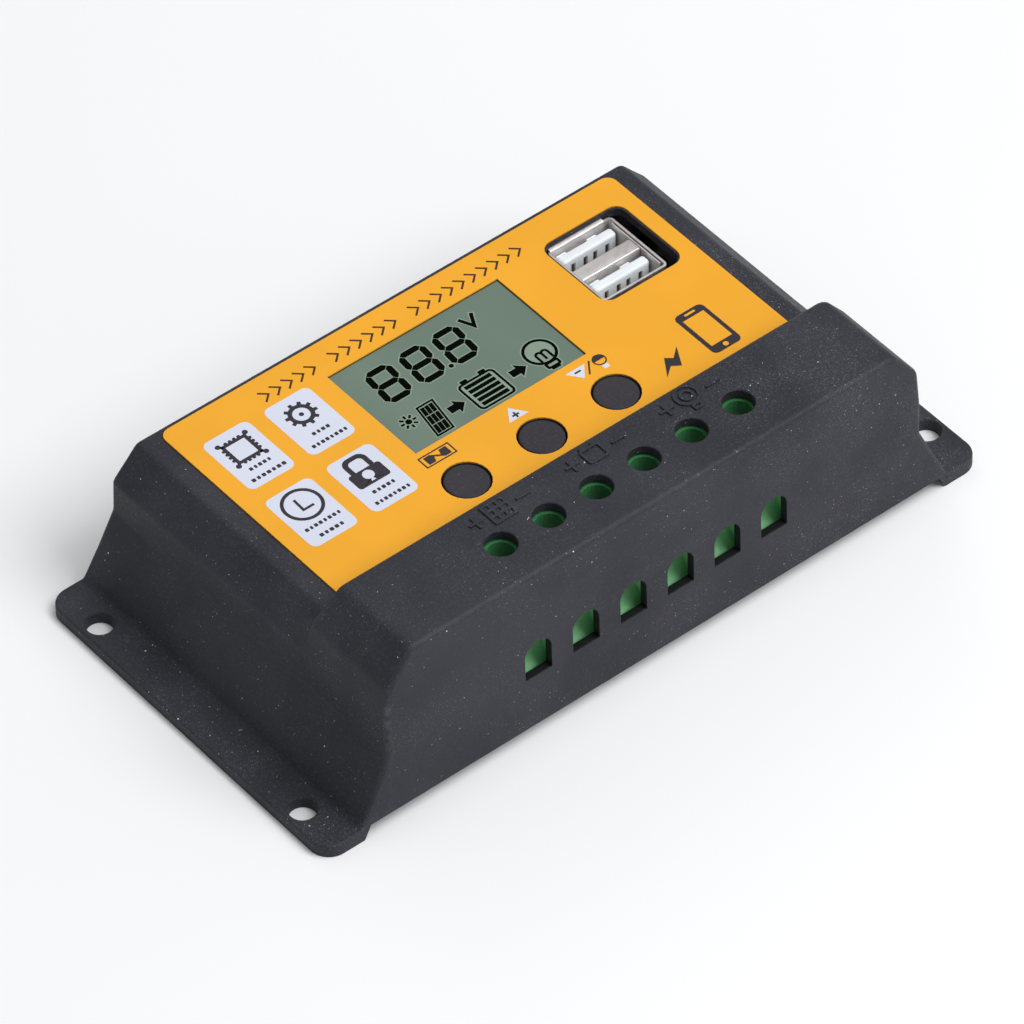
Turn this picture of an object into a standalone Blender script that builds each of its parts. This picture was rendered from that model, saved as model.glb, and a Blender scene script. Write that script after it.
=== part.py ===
"""Solar charge controller in a flanged plastic case, modelled piece by piece.

The controller lies on its mounting flanges. +X runs along its length, +Y from the
terminal wall to the back wall and +Z up through the display. The origin is the middle
of the underside. Lengths below are in millimetres and are turned into metres by MM.
"""

import math

import bmesh
import bpy
from mathutils import Vector

MM = 0.001

# Case, outside
LENGTH = 133.5
DEPTH = 70.0
HEIGHT = 34.5
WALL = 1.5
CEILING = 1.6
FLANGE_THICK = 2.3
FLANGE_CORNER = 3.6
FLARE_FOOT_X = 59.7
FLARE_MID = (56.5, 9.0)
WALL_LOW = (53.9, 14.8)
FRONT_SHOULDER = (53.3, 28.2)
FRONT_TOP_X = 48.4
BACK_SHOULDER = (53.9, 21.4)
DECK_X = 49.0
DECK_Z = 26.9
RIM_Z = 2.5
RIM_X = 57.7
FOOT_X = 59.0
FRONT_LEAN = 1.1
BACK_LEAN = 1.5
RISER_FOOT_Y = -14.6
RISER_TOP_Y = -16.4
EDGE_ROUND = 0.8

# Mounting holes in the flanges
MOUNT_HOLE_R = 2.3
MOUNT_X = 63.5
MOUNT_Y = 25.4

# Face label and the cut-outs it shares with the case
LABEL_THICK = 0.25
LABEL_Z = DECK_Z + 0.05
LABEL_X = (-45.4, 45.8)
LABEL_Y = (-13.4, 32.3)
LABEL_CORNER = 1.8
LCD_CENTRE = (-0.3, 14.3)
LCD_SIZE = (34.4, 22.0)
USB_OPENING_CENTRE = (34.6, 18.15)
USB_OPENING = (15.8, 16.1)
USB_CORNER = 1.9

# Buttons: a cap in the deck, on the long plunger of a switch on the board
BUTTONS = ("mode", "plus", "minus")
BUTTON_PITCH = 15.05
BUTTON_Y = -6.2
BUTTON_HOLE_R = 3.95
BUTTON_CAP_R = 3.6
BUTTON_FLANGE = 0.9
SWITCH_SIZE = 6.0
SWITCH_HEIGHT = 3.5
PLUNGER_R = 1.75

# Terminals
POLE_PITCH = 9.5
BLOCK_PITCH = 2 * POLE_PITCH
TERMINALS_X = -0.4
SCREW_Y = -25.6
SCREW_HOLE_R = 2.65
WINDOW_WIDTH = 5.3
WINDOW_SILL = 12.9
WINDOW_HEIGHT = 7.2
BLOCK_NAMES = ("panel", "battery", "load")
BLOCK_HALF = BLOCK_PITCH / 2 - 0.15
BLOCK_Y = (-32.2, -18.1)
BLOCK_TOP = 32.5
POCKET_WIDTH = 8.2
POCKET_SILL = WINDOW_SILL - 1.3
POCKET_DEPTH = 3.0
CAGE_WALL = 0.8
CAGE_INSIDE = 5.0
CAGE_Y = (-28.9, -21.3)
CAGE_FLOOR = 14.0
CAGE_TOP = (20.6, 21.8)
BAR_Z = (19.5, 20.3)
BAR_WIDTH = 4.4
LEG_Y = (-19.4, -18.6)
LEDGE_Z = (26.0, 27.0)
HEAD_Z = (27.3, 28.9)
HEAD_R = 2.0
SHANK_R = 1.45

# Inside: the plate, the board, and what holds them
GAP = 0.3
PLATE_Z = (3.0, 4.5)
BOARD_Z = (7.4, 9.0)
ON_BOARD = BOARD_Z[1] + GAP
BOARD_REACH = (49.5, 31.4)
BOSS = (45.5, 28.4)
BOSS_R = 3.0
STANDOFF_X = 46.0
STANDOFF_Y = (-8.0, 14.0)
STANDOFF_R = 2.5
PILOT_R = 1.5
STANDOFF_PILOT_R = 1.3

# Display
LCD_BASE_Z = 23.5
LCD_STEP_Z = DECK_Z - CEILING - GAP
LCD_TOP_Z = DECK_Z - 0.05
HOLDER_SIZE = (39.0, 26.4)
HOLDER_WALL = 1.5
BACKLIGHT_THICK = 3.1
PIN_COUNT = 8
PIN_PITCH = 2.54
PIN_TOP = 18.0

# Twin USB outlet, standing on the board
USB_CENTRE = (34.0, 18.6)
USB_SHELL = (13.2, 14.4)
USB_SHELL_WALL = 0.4
USB_PORT_HEIGHT = 5.4
USB_TOP = 26.0
TONGUE_HALF = 5.55
TONGUE_Y = (0.1, 2.0)
TONGUE_TOP = 25.1

# Parts on the board: where each stands, and its size
CAPACITORS = {
    "input_capacitor": ((-34.0, 22.0), 5.0, 13.0),
    "output_capacitor": ((-34.0, 9.5), 4.0, 11.5),
}
CHIPS = {
    "controller_chip": ((0.0, 13.0), (7.0, 7.0)),
    "usb_regulator_chip": ((24.0, -3.0), (4.9, 3.9)),
}
CHIP_Z = (0.1, 1.5)
LEG_PITCH = 1.27
INDUCTOR = (34.0, 1.5)
INDUCTOR_SIZE = 9.6
INDUCTOR_R = 4.4
INDUCTOR_HEIGHT = 4.2
MOSFET_PITCH = 19.0
MOSFET_HALF = 3.3
MOSFET_Y = (-4.0, 2.2)
MOSFET_TAB_HALF = 2.7
MOSFET_TAB_END = 3.6
MOSFET_LEG_X = 2.3
MOSFET_LEG_END = -6.4
SHUNT = (29.0, -11.5)
SHUNT_HALF = 6.0
SHUNT_TOP = 13.5
SHUNT_WIRE = 1.6

ROUND = 24

MATERIALS = {
    "black_abs": ((0.045, 0.045, 0.052), 0.55, 0.0),
    "label_yellow": ((0.93, 0.43, 0.035), 0.4, 0.0),
    "lcd_glass": ((0.18, 0.23, 0.19), 0.2, 0.0),
    "white_plastic": ((0.75, 0.8, 0.84), 0.4, 0.0),
    "green_plastic": ((0.04, 0.3, 0.09), 0.45, 0.0),
    "green_board": ((0.01, 0.12, 0.05), 0.5, 0.0),
    "bare_steel": ((0.55, 0.55, 0.55), 0.3, 1.0),
    "brass": ((0.7, 0.52, 0.25), 0.35, 1.0),
    "aluminium": ((0.7, 0.71, 0.72), 0.4, 1.0),
    "chip_epoxy": ((0.03, 0.03, 0.03), 0.5, 0.0),
    "ferrite": ((0.06, 0.06, 0.065), 0.7, 0.0),
}


# Materials and objects

def clear_scene():
    for obj in list(bpy.data.objects):
        bpy.data.objects.remove(obj, do_unlink=True)


def material(name):
    found = bpy.data.materials.get(name)
    if found:
        return found
    color, roughness, metallic = MATERIALS[name]
    made = bpy.data.materials.new(name)
    made.use_nodes = True
    shader = made.node_tree.nodes["Principled BSDF"]
    shader.inputs["Base Color"].default_value = (*color, 1.0)
    shader.inputs["Roughness"].default_value = roughness
    shader.inputs["Metallic"].default_value = metallic
    made.diffuse_color = (*color, 1.0)
    return made


def finish_object(name, bm, origin=(0.0, 0.0, 0.0)):
    """The mesh in bm, drawn in millimetres, as an object whose origin is at that point."""
    bmesh.ops.remove_doubles(bm, verts=bm.verts, dist=1e-5)
    bmesh.ops.recalc_face_normals(bm, faces=bm.faces)
    mesh = bpy.data.meshes.new(name)
    for vert in bm.verts:
        vert.co = (vert.co - Vector(origin)) * MM
    bm.to_mesh(mesh)
    bm.free()
    obj = bpy.data.objects.new(name, mesh)
    obj.location = Vector(origin) * MM
    bpy.context.scene.collection.objects.link(obj)
    return obj


def node(name, bm, slot, origin=(0.0, 0.0, 0.0), smooth=False):
    obj = finish_object(name, bm, origin)
    obj.data.materials.append(material(slot))
    if smooth:
        obj.data.shade_smooth()
        obj.data.set_sharp_from_angle(angle=math.radians(35))
    return obj


def helper(name, bm):
    """A shape that only cuts or joins, so it isn't rendered."""
    obj = finish_object(name, bm)
    obj.hide_render = True
    obj.display_type = "WIRE"
    return obj


def boolean(obj, other, operation):
    modifier = obj.modifiers.new(f"{operation.lower()} {other.name}", "BOOLEAN")
    modifier.object = other
    modifier.operation = operation
    modifier.solver = "EXACT"


def cut(obj, shapes):
    for index, shape in enumerate(shapes):
        boolean(obj, helper(f"{obj.name}_cut_{index:02d}", shape), "DIFFERENCE")


def join(obj, shapes):
    for index, shape in enumerate(shapes):
        boolean(obj, helper(f"{obj.name}_add_{index:02d}", shape), "UNION")


# Outlines, as lists of two coordinates

def circle(centre, radius, count=ROUND):
    angles = [2 * math.pi * i / count for i in range(count)]
    return [(centre[0] + radius * math.cos(a), centre[1] + radius * math.sin(a)) for a in angles]


def arc(centre, radius, start, end, count):
    """Points from one angle to another, in degrees, both ends included."""
    steps = [math.radians(start + (end - start) * i / count) for i in range(count + 1)]
    return [(centre[0] + radius * math.cos(a), centre[1] + radius * math.sin(a)) for a in steps]


def rectangle(centre, size, corner=0.0, count=5):
    half_w, half_h = size[0] / 2, size[1] / 2
    if corner <= 0:
        signs = ((-1, -1), (1, -1), (1, 1), (-1, 1))
        return [(centre[0] + sx * half_w, centre[1] + sy * half_h) for sx, sy in signs]
    points = []
    for sx, sy, start in ((1, 1, 0), (-1, 1, 90), (-1, -1, 180), (1, -1, 270)):
        middle = (centre[0] + sx * (half_w - corner), centre[1] + sy * (half_h - corner))
        points += arc(middle, corner, start, start + 90, count)
    return points


def arch(centre_x, sill, width, height, count=12):
    """A doorway: flat at the bottom and half round at the top."""
    radius = width / 2
    top = arc((centre_x, sill + height - radius), radius, 0, 180, count)
    return [(centre_x - radius, sill), (centre_x + radius, sill)] + top


# Solids, each added to a bmesh of its own or to the one passed in

def prism(outline, axis, low, high, bm=None):
    """The outline pushed from low to high along an axis. It lies in the other two, in order."""
    bm = bm or bmesh.new()
    place = {"x": lambda p, d: (d, *p), "y": lambda p, d: (p[0], d, p[1]), "z": lambda p, d: (*p, d)}
    start = [bm.verts.new(place[axis](p, low)) for p in outline]
    end = [bm.verts.new(place[axis](p, high)) for p in outline]
    bm.faces.new(start)
    bm.faces.new(end)
    for i, vert in enumerate(start):
        after = (i + 1) % len(start)
        bm.faces.new((vert, start[after], end[after], end[i]))
    return bm


def box(low, high, bm=None):
    middle = ((low[0] + high[0]) / 2, (low[1] + high[1]) / 2)
    return prism(rectangle(middle, (high[0] - low[0], high[1] - low[1])), "z", low[2], high[2], bm)


def cylinder(centre, radius, low, high, count=ROUND):
    return prism(circle(centre, radius, count), "z", low, high)


def turned(profile, centre, count=ROUND):
    """A lathe shape about a vertical line. The profile is (radius, z) points off the axis."""
    bm = bmesh.new()
    rings = []
    for radius, z in profile:
        rings.append([bm.verts.new((x, y, z)) for x, y in circle(centre, radius, count)])
    for lower, upper in zip(rings, rings[1:]):
        for i in range(count):
            after = (i + 1) % count
            bm.faces.new((lower[i], lower[after], upper[after], upper[i]))
    bm.faces.new(rings[0])
    bm.faces.new(rings[-1])
    return bm


# Case

def front_y(z):
    return -DEPTH / 2 + FRONT_LEAN * z / HEIGHT


def back_y(z):
    return DEPTH / 2 - BACK_LEAN * z / DECK_Z


def riser_y(z):
    """The step between the deck and the raised terminal housing."""
    share = max(0.0, (z - DECK_Z) / (HEIGHT - DECK_Z))
    return RISER_FOOT_Y + (RISER_TOP_Y - RISER_FOOT_Y) * share


def mirrored(half):
    """A closed outline from its right half, which runs from bottom to top."""
    return half + [(-x, z) for x, z in reversed(half)]


def outer_half(shoulder, top_x, top_z):
    foot = [(RIM_X, RIM_Z), (FOOT_X, 0.0), (LENGTH / 2, 0.0), (LENGTH / 2, FLANGE_THICK)]
    flare = [(FLARE_FOOT_X, FLANGE_THICK), FLARE_MID, WALL_LOW]
    return foot + flare + [shoulder, (top_x, top_z)]


def inner_half(shoulder, top_x, top_z):
    flare = [(RIM_X - 1.6, -1.0), (RIM_X - 1.6, 4.6), (FLARE_MID[0] - 1.7, FLARE_MID[1])]
    wall = [(WALL_LOW[0] - WALL, WALL_LOW[1]), (shoulder[0] - WALL, shoulder[1] - 0.6)]
    return flare + wall + [(top_x - 0.7, top_z - CEILING)]


def stations(front_half, back_half, front, riser, back):
    """One solid through four cross-sections: front face, riser top, riser foot and back face."""
    bm = bmesh.new()
    tall, low = mirrored(front_half), mirrored(back_half)
    sections = [
        [(x, front(z), z) for x, z in tall],
        [(x, riser(z), z) for x, z in tall],
        [(x, riser(z), z) for x, z in low],
        [(x, back(z), z) for x, z in low],
    ]
    rings = [[bm.verts.new(point) for point in section] for section in sections]
    for first, second in zip(rings, rings[1:]):
        for i in range(len(first)):
            after = (i + 1) % len(first)
            corners = (first[i], first[after], second[after], second[i])
            places = {tuple(round(c, 6) for c in corner.co) for corner in corners}
            if len(places) > 2:
                bm.faces.new(corners)
    bm.faces.new(rings[0])
    bm.faces.new(rings[-1])
    return bm


def case_outside():
    return stations(
        outer_half(FRONT_SHOULDER, FRONT_TOP_X, HEIGHT),
        outer_half(BACK_SHOULDER, DECK_X, DECK_Z),
        front_y,
        riser_y,
        back_y,
    )


def case_inside():
    return stations(
        inner_half(FRONT_SHOULDER, FRONT_TOP_X, HEIGHT),
        inner_half(BACK_SHOULDER, DECK_X, DECK_Z),
        lambda z: front_y(max(z, 0)) + WALL,
        lambda z: riser_y(z + CEILING) - WALL,
        lambda z: back_y(max(z, 0)) - WALL,
    )


def flange_corner(side_x, side_y):
    """What is cut away to round a flange's outer corner."""
    reach_x, reach_y = LENGTH / 2, DEPTH / 2
    middle = (side_x * (reach_x - FLANGE_CORNER), side_y * (reach_y - FLANGE_CORNER))
    start = math.degrees(math.atan2(side_y, side_x)) - 45
    rounded = arc(middle, FLANGE_CORNER, start, start + 90, 8)
    far_x, far_y = side_x * (reach_x + 2), side_y * (reach_y + 2)
    if side_x * side_y > 0:
        ends = [(rounded[-1][0], far_y), (far_x, far_y), (far_x, rounded[0][1])]
    else:
        ends = [(far_x, rounded[-1][1]), (far_x, far_y), (rounded[0][0], far_y)]
    return prism(rounded + ends, "z", -2.0, 6.0)


def window_centres():
    return [TERMINALS_X + (index - 2.5) * POLE_PITCH for index in range(6)]


def mount_places():
    return [(sx * MOUNT_X, sy * MOUNT_Y) for sx in (-1, 1) for sy in (-1, 1)]


def boss_places():
    return [(sx * BOSS[0], sy * BOSS[1]) for sx in (-1, 1) for sy in (-1, 1)]


def standoff_places():
    return [(sx * STANDOFF_X, y) for sx in (-1, 1) for y in STANDOFF_Y]


def button_x(index):
    return (index - 1) * BUTTON_PITCH


def top_cover():
    obj = node("top_cover", case_outside(), "black_abs")
    cut(obj, [flange_corner(sx, sy) for sx in (-1, 1) for sy in (-1, 1)])
    bevel = obj.modifiers.new("soft edges", "BEVEL")
    bevel.width = EDGE_ROUND * MM
    bevel.segments = 2
    bevel.limit_method = "ANGLE"
    bevel.angle_limit = math.radians(24)
    cavity = helper("top_cover_cavity", case_inside())
    boolean(obj, cavity, "DIFFERENCE")
    for index, place in enumerate(boss_places()):
        ceiling = (HEIGHT if place[1] < 0 else DECK_Z) - CEILING
        boss = cylinder(place, BOSS_R, PLATE_Z[1] + GAP, ceiling + 0.8)
        boolean(obj, helper(f"top_cover_boss_{index}", boss), "UNION")
        pilot = cylinder(place, PILOT_R, 0.0, 14.0, 12)
        boolean(obj, helper(f"top_cover_pilot_{index}", pilot), "DIFFERENCE")
    for index, place in enumerate(standoff_places()):
        standoff = cylinder(place, STANDOFF_R, ON_BOARD, DECK_Z - CEILING + 0.8)
        boolean(obj, helper(f"top_cover_standoff_{index}", standoff), "UNION")
        pilot = cylinder(place, STANDOFF_PILOT_R, 5.0, 15.0, 12)
        boolean(obj, helper(f"top_cover_standoff_pilot_{index}", pilot), "DIFFERENCE")
    holes = [cylinder(place, MOUNT_HOLE_R, -1.0, 6.0) for place in mount_places()]
    for x in window_centres():
        holes.append(cylinder((x, SCREW_Y), SCREW_HOLE_R, HEIGHT - 4, HEIGHT + 2))
        holes.append(prism(arch(x, WINDOW_SILL, WINDOW_WIDTH, WINDOW_HEIGHT), "y", -37.0, -30.0))
    for index in range(3):
        holes.append(cylinder((button_x(index), BUTTON_Y), BUTTON_HOLE_R, DECK_Z - 3, DECK_Z + 2))
    lcd_hole = rectangle(LCD_CENTRE, (LCD_SIZE[0] + 0.4, LCD_SIZE[1] + 0.4))
    usb_hole = rectangle(USB_OPENING_CENTRE, USB_OPENING, USB_CORNER)
    holes += [prism(outline, "z", DECK_Z - 3, DECK_Z + 2) for outline in (lcd_hole, usb_hole)]
    cut(obj, holes)


def back_plate():
    size = (2 * RIM_X - 4.4, DEPTH - 4.6)
    obj = node("back_plate", prism(rectangle((0, 0), size, 2.0, 3), "z", *PLATE_Z), "aluminium")
    cut(obj, [cylinder(place, 1.75, 2.0, 6.0, 16) for place in boss_places()])


def face_label():
    centre = (sum(LABEL_X) / 2, sum(LABEL_Y) / 2)
    size = (LABEL_X[1] - LABEL_X[0], LABEL_Y[1] - LABEL_Y[0])
    top = LABEL_Z + LABEL_THICK
    film = prism(rectangle(centre, size, LABEL_CORNER), "z", LABEL_Z, top)
    obj = node("face_label", film, "label_yellow")
    usb_size = (USB_OPENING[0] + 0.6, USB_OPENING[1] + 0.6)
    usb_hole = rectangle(USB_OPENING_CENTRE, usb_size, USB_CORNER + 0.3)
    lcd_hole = rectangle(LCD_CENTRE, LCD_SIZE)
    cuts = [prism(outline, "z", LABEL_Z - 1, top + 1) for outline in (lcd_hole, usb_hole)]
    for index in range(3):
        cuts.append(cylinder((button_x(index), BUTTON_Y), BUTTON_HOLE_R + 0.1, LABEL_Z - 1, top + 1))
    cut(obj, cuts)


# Display

def display():
    flange = rectangle(LCD_CENTRE, (LCD_SIZE[0] + 3.4, LCD_SIZE[1] + 3.4))
    glass = node("lcd_panel", prism(flange, "z", LCD_BASE_Z, LCD_STEP_Z), "lcd_glass")
    raised = rectangle(LCD_CENTRE, (LCD_SIZE[0] - 0.2, LCD_SIZE[1] - 0.2))
    join(glass, [prism(raised, "z", LCD_STEP_Z - 0.5, LCD_TOP_Z)])
    top = LCD_BASE_Z - GAP
    frame = prism(rectangle(LCD_CENTRE, HOLDER_SIZE), "z", ON_BOARD, top)
    holder = node("lcd_holder", frame, "white_plastic")
    opening = rectangle(LCD_CENTRE, (HOLDER_SIZE[0] - 2 * HOLDER_WALL, HOLDER_SIZE[1] - 2 * HOLDER_WALL))
    x, y = LCD_CENTRE
    side_low, side_high = ON_BOARD + 3.0, top - 5.0
    cut(holder, [
        prism(opening, "z", ON_BOARD - 1, top + 1),
        box((-30, y - 8, side_low), (30, y + 8, side_high)),
        box((x - 13, -5, ON_BOARD - 1), (x + 13, 6, side_high)),
    ])
    light_gap = 2 * HOLDER_WALL + 2 * GAP
    light = rectangle(LCD_CENTRE, (HOLDER_SIZE[0] - light_gap, HOLDER_SIZE[1] - light_gap))
    node("lcd_backlight", prism(light, "z", top - 0.1 - BACKLIGHT_THICK, top - 0.1), "white_plastic")


def lcd_pin_strip():
    """The row of pins that carries the display's signals down to the board."""
    y = LCD_CENTRE[1] - HOLDER_SIZE[1] / 2 + 4.0
    middle = LCD_CENTRE[0]
    bar = box((middle - 12, y - 1.1, ON_BOARD + 1.3), (middle + 12, y + 1.1, ON_BOARD + 3.7))
    obj = node("lcd_pin_strip", bar, "chip_epoxy")
    pins = []
    for index in range(PIN_COUNT):
        x = middle + (index - (PIN_COUNT - 1) / 2) * PIN_PITCH
        pins.append(box((x - 0.3, y - 0.3, ON_BOARD), (x + 0.3, y + 0.3, PIN_TOP)))
    join(obj, pins)


def button(index):
    name = BUTTONS[index]
    place = (button_x(index), BUTTON_Y)
    under_deck = DECK_Z - CEILING - GAP
    cap_bottom, cap_top = under_deck - 0.9, DECK_Z + 0.35
    profile = [
        (BUTTON_CAP_R + BUTTON_FLANGE, cap_bottom),
        (BUTTON_CAP_R + BUTTON_FLANGE, under_deck),
        (BUTTON_CAP_R, under_deck),
        (BUTTON_CAP_R, cap_top - 0.25),
        (BUTTON_CAP_R - 0.25, cap_top),
    ]
    node(f"{name}_button_cap", turned(profile, place), "black_abs", (*place, cap_bottom), True)
    body_top = ON_BOARD + SWITCH_HEIGHT
    body = rectangle(place, (SWITCH_SIZE, SWITCH_SIZE), 0.5, 2)
    switch = node(f"{name}_switch_body", prism(body, "z", ON_BOARD, body_top), "chip_epoxy")
    cut(switch, [cylinder(place, PLUNGER_R + GAP, body_top - 2.4, body_top + 1, 16)])
    plunger = cylinder(place, PLUNGER_R, body_top - 1.5, cap_bottom - GAP, 16)
    node(f"{name}_switch_plunger", plunger, "white_plastic", (*place, body_top), True)


# Twin USB outlet

def port_centres():
    offset = (USB_SHELL[1] - 2 * USB_SHELL_WALL - USB_PORT_HEIGHT) / 2
    return [USB_CENTRE[1] - offset, USB_CENTRE[1] + offset]


def usb_outlet():
    x, y = USB_CENTRE
    outline = rectangle(USB_CENTRE, USB_SHELL, 0.8, 3)
    shell = node("usb_shell", prism(outline, "z", ON_BOARD, USB_TOP), "bare_steel")
    inside = USB_SHELL[0] - 2 * USB_SHELL_WALL
    port_size = (inside, USB_PORT_HEIGHT)
    ports = [prism(rectangle((x, port), port_size), "z", 5.0, 30.0) for port in port_centres()]
    foot = box((x - inside / 2, y - 10, 5.0), (x + inside / 2, y + 10, ON_BOARD + 2.3))
    cut(shell, ports + [foot])
    base = rectangle(USB_CENTRE, (inside - 2 * GAP, USB_SHELL[1] - 0.4))
    insulator = node("usb_insulator", prism(base, "z", ON_BOARD, ON_BOARD + 2.0), "white_plastic")
    tongues = []
    for port in port_centres():
        low = (x - TONGUE_HALF, port + TONGUE_Y[0], ON_BOARD + 1.0)
        tongues.append(box(low, (x + TONGUE_HALF, port + TONGUE_Y[1], TONGUE_TOP)))
    join(insulator, tongues)


# Terminal blocks: two poles each, for the panel, the battery and the load

def block_middle(block):
    return TERMINALS_X + (block - 1) * BLOCK_PITCH


def pole_centres(block):
    middle = block_middle(block)
    return [middle - POLE_PITCH / 2, middle + POLE_PITCH / 2]


def pole_cuts(x):
    """Wire pocket with its sloping floor, cage space, screw well and the contact's channel."""
    half = POCKET_WIDTH / 2
    front, back = BLOCK_Y[0] - 1, BLOCK_Y[0] + POCKET_DEPTH + 0.2
    floor = POCKET_SILL + POCKET_DEPTH
    slope = [(front, POCKET_SILL - 1), (back, floor + 0.2), (back, floor + 1), (front, floor + 1)]
    arch_height = WINDOW_SILL + WINDOW_HEIGHT + 0.1 - floor
    cage_half = CAGE_INSIDE / 2 + CAGE_WALL + GAP
    bar_half, bar_top = BAR_WIDTH / 2 + GAP, BAR_Z[1] + GAP
    return [
        prism(slope, "x", x - half, x + half),
        prism(arch(x, floor, POCKET_WIDTH, arch_height), "y", front, back),
        box((x - cage_half, CAGE_Y[0] - 0.6, 5.0), (x + cage_half, CAGE_Y[1] + 0.8, LEDGE_Z[0])),
        cylinder((x, SCREW_Y), HEAD_R + GAP, LEDGE_Z[1], BLOCK_TOP + 1, 20),
        cylinder((x, SCREW_Y), SHANK_R + GAP, LEDGE_Z[0] - 1, LEDGE_Z[1] + 1, 12),
        box((x - bar_half, LEG_Y[0] - GAP, 5.0), (x + bar_half, -15.0, bar_top)),
        box((x - bar_half, -23.0, BAR_Z[0] - GAP), (x + bar_half, -18.0, bar_top)),
    ]


def terminal_block(block):
    middle = block_middle(block)
    low = (middle - BLOCK_HALF, BLOCK_Y[0], ON_BOARD)
    high = (middle + BLOCK_HALF, BLOCK_Y[1], BLOCK_TOP)
    name = BLOCK_NAMES[block]
    obj = node(f"{name}_terminal_block", box(low, high), "green_plastic")
    cut(obj, [shape for x in pole_centres(block) for shape in pole_cuts(x)])
    for x, sign in zip(pole_centres(block), ("plus", "minus")):
        clamp_cage(f"{name}_{sign}_clamp_cage", x)
        clamp_screw(f"{name}_{sign}_screw", x)
        contact(f"{name}_{sign}_contact", x)


def clamp_cage(name, x):
    """A square steel loop that the screw draws up against the contact bar."""
    half = CAGE_INSIDE / 2 + CAGE_WALL
    low, high = CAGE_FLOOR - CAGE_WALL, CAGE_TOP[1]
    outside = rectangle((x, (low + high) / 2), (2 * half, high - low), 0.5, 2)
    origin = (x, SCREW_Y, CAGE_FLOOR)
    obj = node(name, prism(outside, "y", *CAGE_Y), "bare_steel", origin)
    inside = rectangle((x, (CAGE_FLOOR + CAGE_TOP[0]) / 2), (CAGE_INSIDE, CAGE_TOP[0] - CAGE_FLOOR))
    cut(obj, [
        prism(inside, "y", CAGE_Y[0] - 1, CAGE_Y[1] + 1),
        cylinder((x, SCREW_Y), SHANK_R + GAP, CAGE_TOP[0] - 0.5, CAGE_TOP[1] + 1, 12),
    ])


def clamp_screw(name, x):
    profile = [
        (SHANK_R - 0.3, CAGE_TOP[0] + 0.3),
        (SHANK_R, CAGE_TOP[0] + 0.6),
        (SHANK_R, HEAD_Z[0]),
        (HEAD_R, HEAD_Z[0]),
        (HEAD_R, HEAD_Z[1] - 0.3),
        (HEAD_R - 0.3, HEAD_Z[1]),
    ]
    obj = node(name, turned(profile, (x, SCREW_Y), 16), "bare_steel", (x, SCREW_Y, HEAD_Z[0]), True)
    cut(obj, cross_recess((x, SCREW_Y), HEAD_Z[1], 1.0, 1.35, 0.5))


def cross_recess(place, face, depth, reach, width, up=1):
    """Two crossed slots cut into a screw head's face, from above or, with up -1, from below."""
    x, y = place
    low, high = sorted((face - up * depth, face + up * 0.5))
    return [
        box((x - reach, y - width / 2, low), (x + reach, y + width / 2, high)),
        box((x - width / 2, y - reach, low), (x + width / 2, y + reach, high)),
    ]


def contact(name, x):
    """Tin-plated bar through the cage, with a leg down the back of the block into the board."""
    half = BAR_WIDTH / 2
    side = [
        (CAGE_Y[0] - 0.3, BAR_Z[0]),
        (LEG_Y[0], BAR_Z[0]),
        (LEG_Y[0], ON_BOARD),
        (LEG_Y[1], ON_BOARD),
        (LEG_Y[1], BAR_Z[1]),
        (CAGE_Y[0] - 0.3, BAR_Z[1]),
    ]
    obj = node(name, prism(side, "x", x - half, x + half), "brass")
    join(obj, [box((x - 0.6, LEG_Y[0], 5.6), (x + 0.6, LEG_Y[1], BOARD_Z[1] + 1.0))])


# Board and what is soldered to it

def main_board():
    notch = (BOSS[0] - BOSS_R - 0.7, BOSS[1] - BOSS_R - 0.7)
    quarter = [(BOARD_REACH[0], notch[1]), notch, (notch[0], BOARD_REACH[1])]
    outline = []
    for sx, sy in ((1, 1), (-1, 1), (-1, -1), (1, -1)):
        corner = [(sx * x, sy * y) for x, y in quarter]
        outline += corner if sx * sy > 0 else corner[::-1]
    obj = node("main_board", prism(outline, "z", *BOARD_Z), "green_board")
    holes = [cylinder(place, 1.4, 5.0, 12.0, 12) for place in standoff_places()]
    leg = (LEG_Y[0] + LEG_Y[1]) / 2
    holes += [cylinder((x, leg), 1.0, 5.0, 12.0, 10) for x in window_centres()]
    cut(obj, holes)


def tapping_screw(name, place, head, shank, length):
    """A pan-head screw that is driven up from below. The head is (radius, lowest z, highest z)."""
    head_r, low, high = head
    tip = high + length
    profile = [
        (head_r - 0.4, low),
        (head_r, low + 0.4),
        (head_r, high),
        (shank, high),
        (shank, tip - 0.8),
        (shank * 0.4, tip),
    ]
    obj = node(name, turned(profile, place, 16), "bare_steel", (*place, high), True)
    cut(obj, cross_recess(place, low, 0.7, head_r * 0.55, 0.5, -1))


def fasteners():
    for index, place in enumerate(boss_places()):
        tapping_screw(f"plate_screw_{index + 1}", place, (2.7, 1.2, 2.7), 1.2, 9.0)
    for index, place in enumerate(standoff_places()):
        tapping_screw(f"board_screw_{index + 1}", place, (2.3, 5.7, 7.1), 1.0, 7.0)


def mosfet(index):
    """Surface-mounted power transistor under the board, close to the plate that cools it."""
    x = (index - 1) * MOSFET_PITCH
    front, back = MOSFET_Y
    bottom, top = PLATE_Z[1] + 0.4, BOARD_Z[0] - GAP
    body = box((x - MOSFET_HALF, front, bottom), (x + MOSFET_HALF, back, top))
    obj = node(f"mosfet_{index + 1}", body, "chip_epoxy")
    tab_low = (x - MOSFET_TAB_HALF, back - 0.7, bottom)
    added = [box(tab_low, (x + MOSFET_TAB_HALF, MOSFET_TAB_END, bottom + 0.5))]
    for leg in (x - MOSFET_LEG_X, x + MOSFET_LEG_X):
        added.append(box((leg - 0.4, MOSFET_LEG_END, top - 0.5), (leg + 0.4, front + 0.5, top)))
    join(obj, added)


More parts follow.
